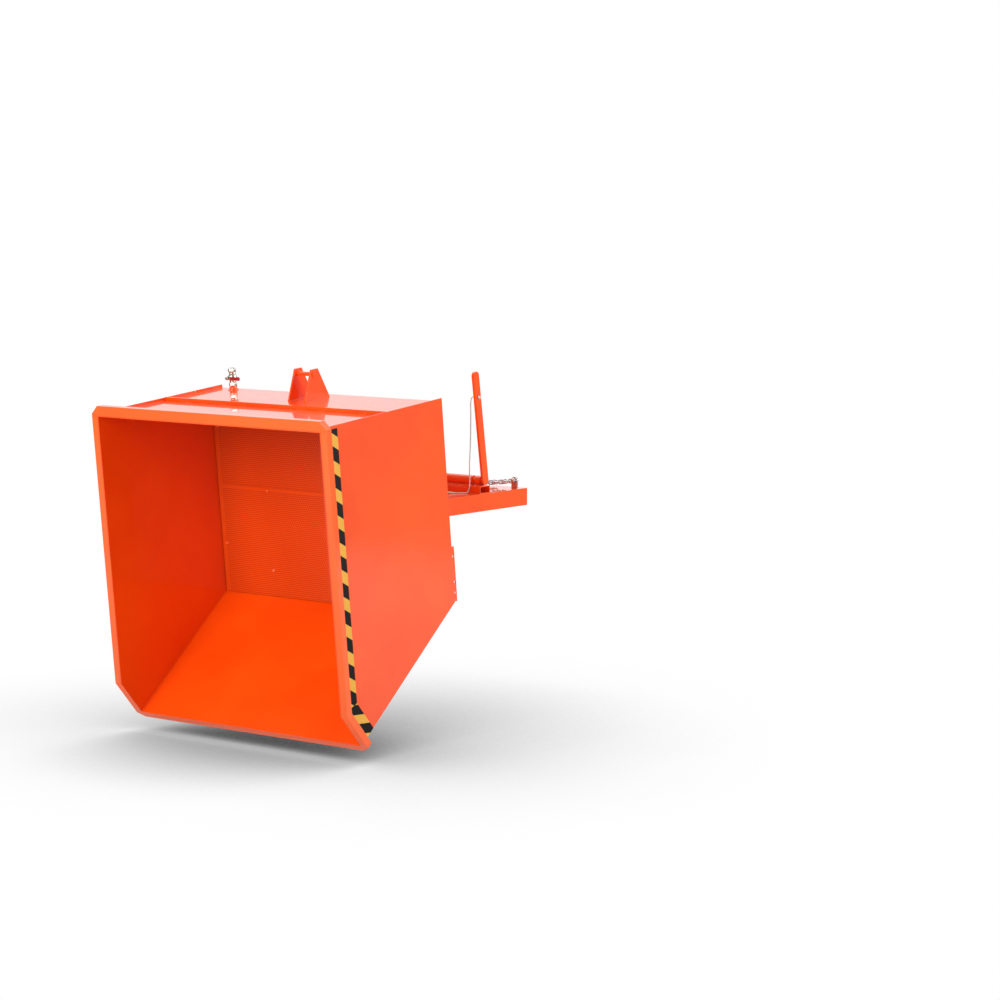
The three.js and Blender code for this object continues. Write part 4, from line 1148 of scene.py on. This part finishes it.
def weld_tub_outside():
    bm = bmesh.new()
    face = REAR_FACE + SEAT_GAP
    corner_low, corner_high = UNDERSIDE + CORNER_WELD_MARGIN, RIM_UNDER - CORNER_WELD_MARGIN
    for side in (-1, 1):
        corner = side * PANEL_INNER
        bead(bm, (corner, REAR_FACE, corner_low), (corner, REAR_FACE, corner_high), TUBE_BEAD)
        for height in RIB_EDGES:
            ends = [(side * x, face, height) for x in RIB_WELD]
            bead(bm, *ends, THIN_BEAD, RIB_STITCH)
        for x in both(side * CATCH_X, CATCH_HALF):
            ends = [(x, face, height) for height in CATCH_WELD]
            bead(bm, *ends, CATCH_BEAD)
        beads_along_y(bm, (corner,), (BOTTOM_WELD_START, REAR_FACE), UNDERSIDE, SHEET_BEAD)
        beads_along_y(bm, (side * FOOT_X,), FOOT_WELD, UNDERSIDE, SHEET_BEAD, FOOT_STITCH)
        beads_along_y(bm, both(side * LUG_X, LUG_HALF), LUG_WELD, LUG_TOP, TUBE_BEAD)
        beads_along_y(bm, both(side * LUG_X, PAD_HALF), PAD_WELD, UNDERSIDE, SHEET_BEAD, PAD_STITCH)
    drain = Vector((DRAIN.x, face, DRAIN.z))
    ring_bead(bm, drain, Vector((1, 0, 0)), Vector((0, 0, 1)), DRAIN_WELD_RADIUS, THIN_BEAD)
    finish_piece("weld_beads_outside", bm, PAINT, "tub", TUB)


def weld_frame():
    bm = bmesh.new()
    top = POCKET_HEIGHT
    for side in (-1, 1):
        inner, outer = side * POCKET_INNER, side * POCKET_OUTER
        beads_along_x(bm, (inner, outer), CROSS_TUBE_EDGES, top, TUBE_BEAD)
        for tube_edges in TIE_TUBES:
            for z in TIE_TUBE_HEIGHTS:
                beads_along_y(bm, (inner,), tube_edges, z, TUBE_BEAD)
            for y in tube_edges:
                ends = [(inner, y, z) for z in TIE_TUBE_HEIGHTS]
                bead(bm, *ends, TUBE_BEAD)
        beads_along_y(bm, (side * TIE_PLATE_X,), TIE_PLATE_WELD, top, SHEET_BEAD, TIE_PLATE_STITCH)
        for ear in EAR_PLACES:
            beads_along_y(bm, both(side * ear, EAR_HALF), EAR_WELD, top, TUBE_BEAD)
        eye_span = [side * x for x in EYE_WELD]
        beads_along_x(bm, eye_span, both(EYE_Y, EYE_HALF), top, THIN_BEAD)
    for sleeve in SLEEVES:
        beads_along_x(bm, sleeve, both(LATCH_AXIS.y, SLEEVE_HALF), SLEEVE_WELD_HEIGHT, THICK_BEAD)
    finish_piece("weld_beads_frame", bm, PAINT, "base_frame")


make_valve_body()
make_valve_handle()
make_chain("chain_links_front", EYE_Y - STRAND_OFFSET, "safety_chain_front")
make_chain("chain_links_rear", EYE_Y + STRAND_OFFSET, "safety_chain_rear")
make_floor_screws()
weld_tub_inside()
weld_tub_outside()
weld_frame()
dress_cad_nodes()


# Studio. ROOM_TURN spans the directions between the room behind the camera and the paler one ahead.
FLOOR_HEIGHT = -0.90
FLOOR_REACH = 60
FLOOR_GREY = (0.5, 0.5, 0.5)
FLOOR_ROUGHNESS = 0.9
FLOOR_SPECULAR = 0.1
CLEAR_WHITE = (1.0, 1.0, 1.0, 1)
ROOM_LIGHT = 0.5
ROOM_BEHIND = 0.2
ROOM_TURN = (-0.5, 0.3)
# Painted shadow: the floor's light to the camera dims with ambient occlusion within SHADOW_REACH, mapped through
# OPEN_SHARES
SHADOW_REACH = 1.6
SHADOW_SAMPLES = 16
OPEN_SHARES = (0.16, 0.97)
LAMP_TARGET = (0, -1.2, 0)
LAMPS = {
    "key_lamp": {"place": (0.0, -6.8, 2.2), "size": (4.0, 3.0), "watts": 300},
    "side_lamp": {"place": (6.2, 1.6, 1.8), "size": (3.0, 3.0), "watts": 300},
    "top_lamp": {"place": (-1.0, 0.5, 5.0), "size": (4.0, 4.0), "watts": 150},
}


def make_floor():
    """A pale floor. The camera sees it white, with a painted soft neutral shadow round the object: its light to
    the camera dims where ambient occlusion finds the object near.
    """
    bpy.ops.mesh.primitive_plane_add(size=2 * FLOOR_REACH, location=(0, 0, FLOOR_HEIGHT))
    floor = bpy.context.object
    floor.name = "studio_floor"
    finish = Finish("studio_floor", FLOOR_GREY, FLOOR_ROUGHNESS, Specular_IOR_Level=FLOOR_SPECULAR)
    paths = finish.node("LightPath").outputs
    seen = finish.math("MAXIMUM", paths["Is Camera Ray"], paths["Is Transmission Ray"])
    shadow_occlusion = finish.node("AmbientOcclusion", {"Distance": SHADOW_REACH}, samples=SHADOW_SAMPLES)
    shade = finish.between(shadow_occlusion.outputs["AO"], 0.0, 1.0, *OPEN_SHARES)
    shadowed_emission = finish.node("Emission", {"Color": CLEAR_WHITE, "Strength": shade})
    mixed = finish.node("MixShader")
    finish.put(mixed.inputs[0], seen)
    finish.put(mixed.inputs[1], finish.shader.outputs[0])
    finish.put(mixed.inputs[2], shadowed_emission.outputs[0])
    finish.put(finish.tree.nodes["Material Output"].inputs["Surface"], mixed.outputs[0])
    finish.material.cycles.emission_sampling = "NONE"
    floor.data.materials.append(finish.material)


def make_world():
    """White to the camera. The room it lights and mirrors is paler ahead of the camera than behind."""
    world = bpy.data.worlds.new("studio")
    bpy.context.scene.world = world
    world.use_nodes = True
    tree = world.node_tree
    background = tree.nodes["Background"]
    background.inputs["Color"].default_value = CLEAR_WHITE

    def ranged(value, low, high, from_low=0.0, from_high=1.0):
        made = tree.nodes.new("ShaderNodeMapRange")
        tree.links.new(value, made.inputs["Value"])
        for socket, number in (("From Min", from_low), ("From Max", from_high)):
            made.inputs[socket].default_value = number
        for socket, number in (("To Min", low), ("To Max", high)):
            if isinstance(number, float):
                made.inputs[socket].default_value = number
            else:
                tree.links.new(number, made.inputs[socket])
        return made.outputs[0]

    paths = tree.nodes.new("ShaderNodeLightPath").outputs
    direction = tree.nodes.new("ShaderNodeTexCoord").outputs["Generated"]
    split = tree.nodes.new("ShaderNodeSeparateXYZ")
    tree.links.new(direction, split.inputs[0])
    mirrored = ranged(split.outputs["Y"], ROOM_BEHIND, 1.0, *ROOM_TURN)
    lit = ranged(paths["Is Glossy Ray"], ROOM_LIGHT, mirrored)
    seen = tree.nodes.new("ShaderNodeMath")
    seen.operation = "MAXIMUM"
    tree.links.new(paths["Is Camera Ray"], seen.inputs[0])
    tree.links.new(paths["Is Transmission Ray"], seen.inputs[1])
    tree.links.new(ranged(seen.outputs[0], lit, 1.0), background.inputs["Strength"])


def make_lamp(name, place, size, watts):
    data = bpy.data.lights.new(name, "AREA")
    data.shape = "RECTANGLE"
    data.size, data.size_y = size
    data.energy = watts
    lamp = bpy.data.objects.new(name, data)
    lamp.location = place
    lamp.rotation_euler = (Vector(place) - Vector(LAMP_TARGET)).to_track_quat("Z", "Y").to_euler()
    bpy.context.scene.collection.objects.link(lamp)


make_floor()
make_world()
for lamp_name, lamp in LAMPS.items():
    make_lamp(lamp_name, **lamp)

bpy.context.scene.view_settings.view_transform = "Standard"
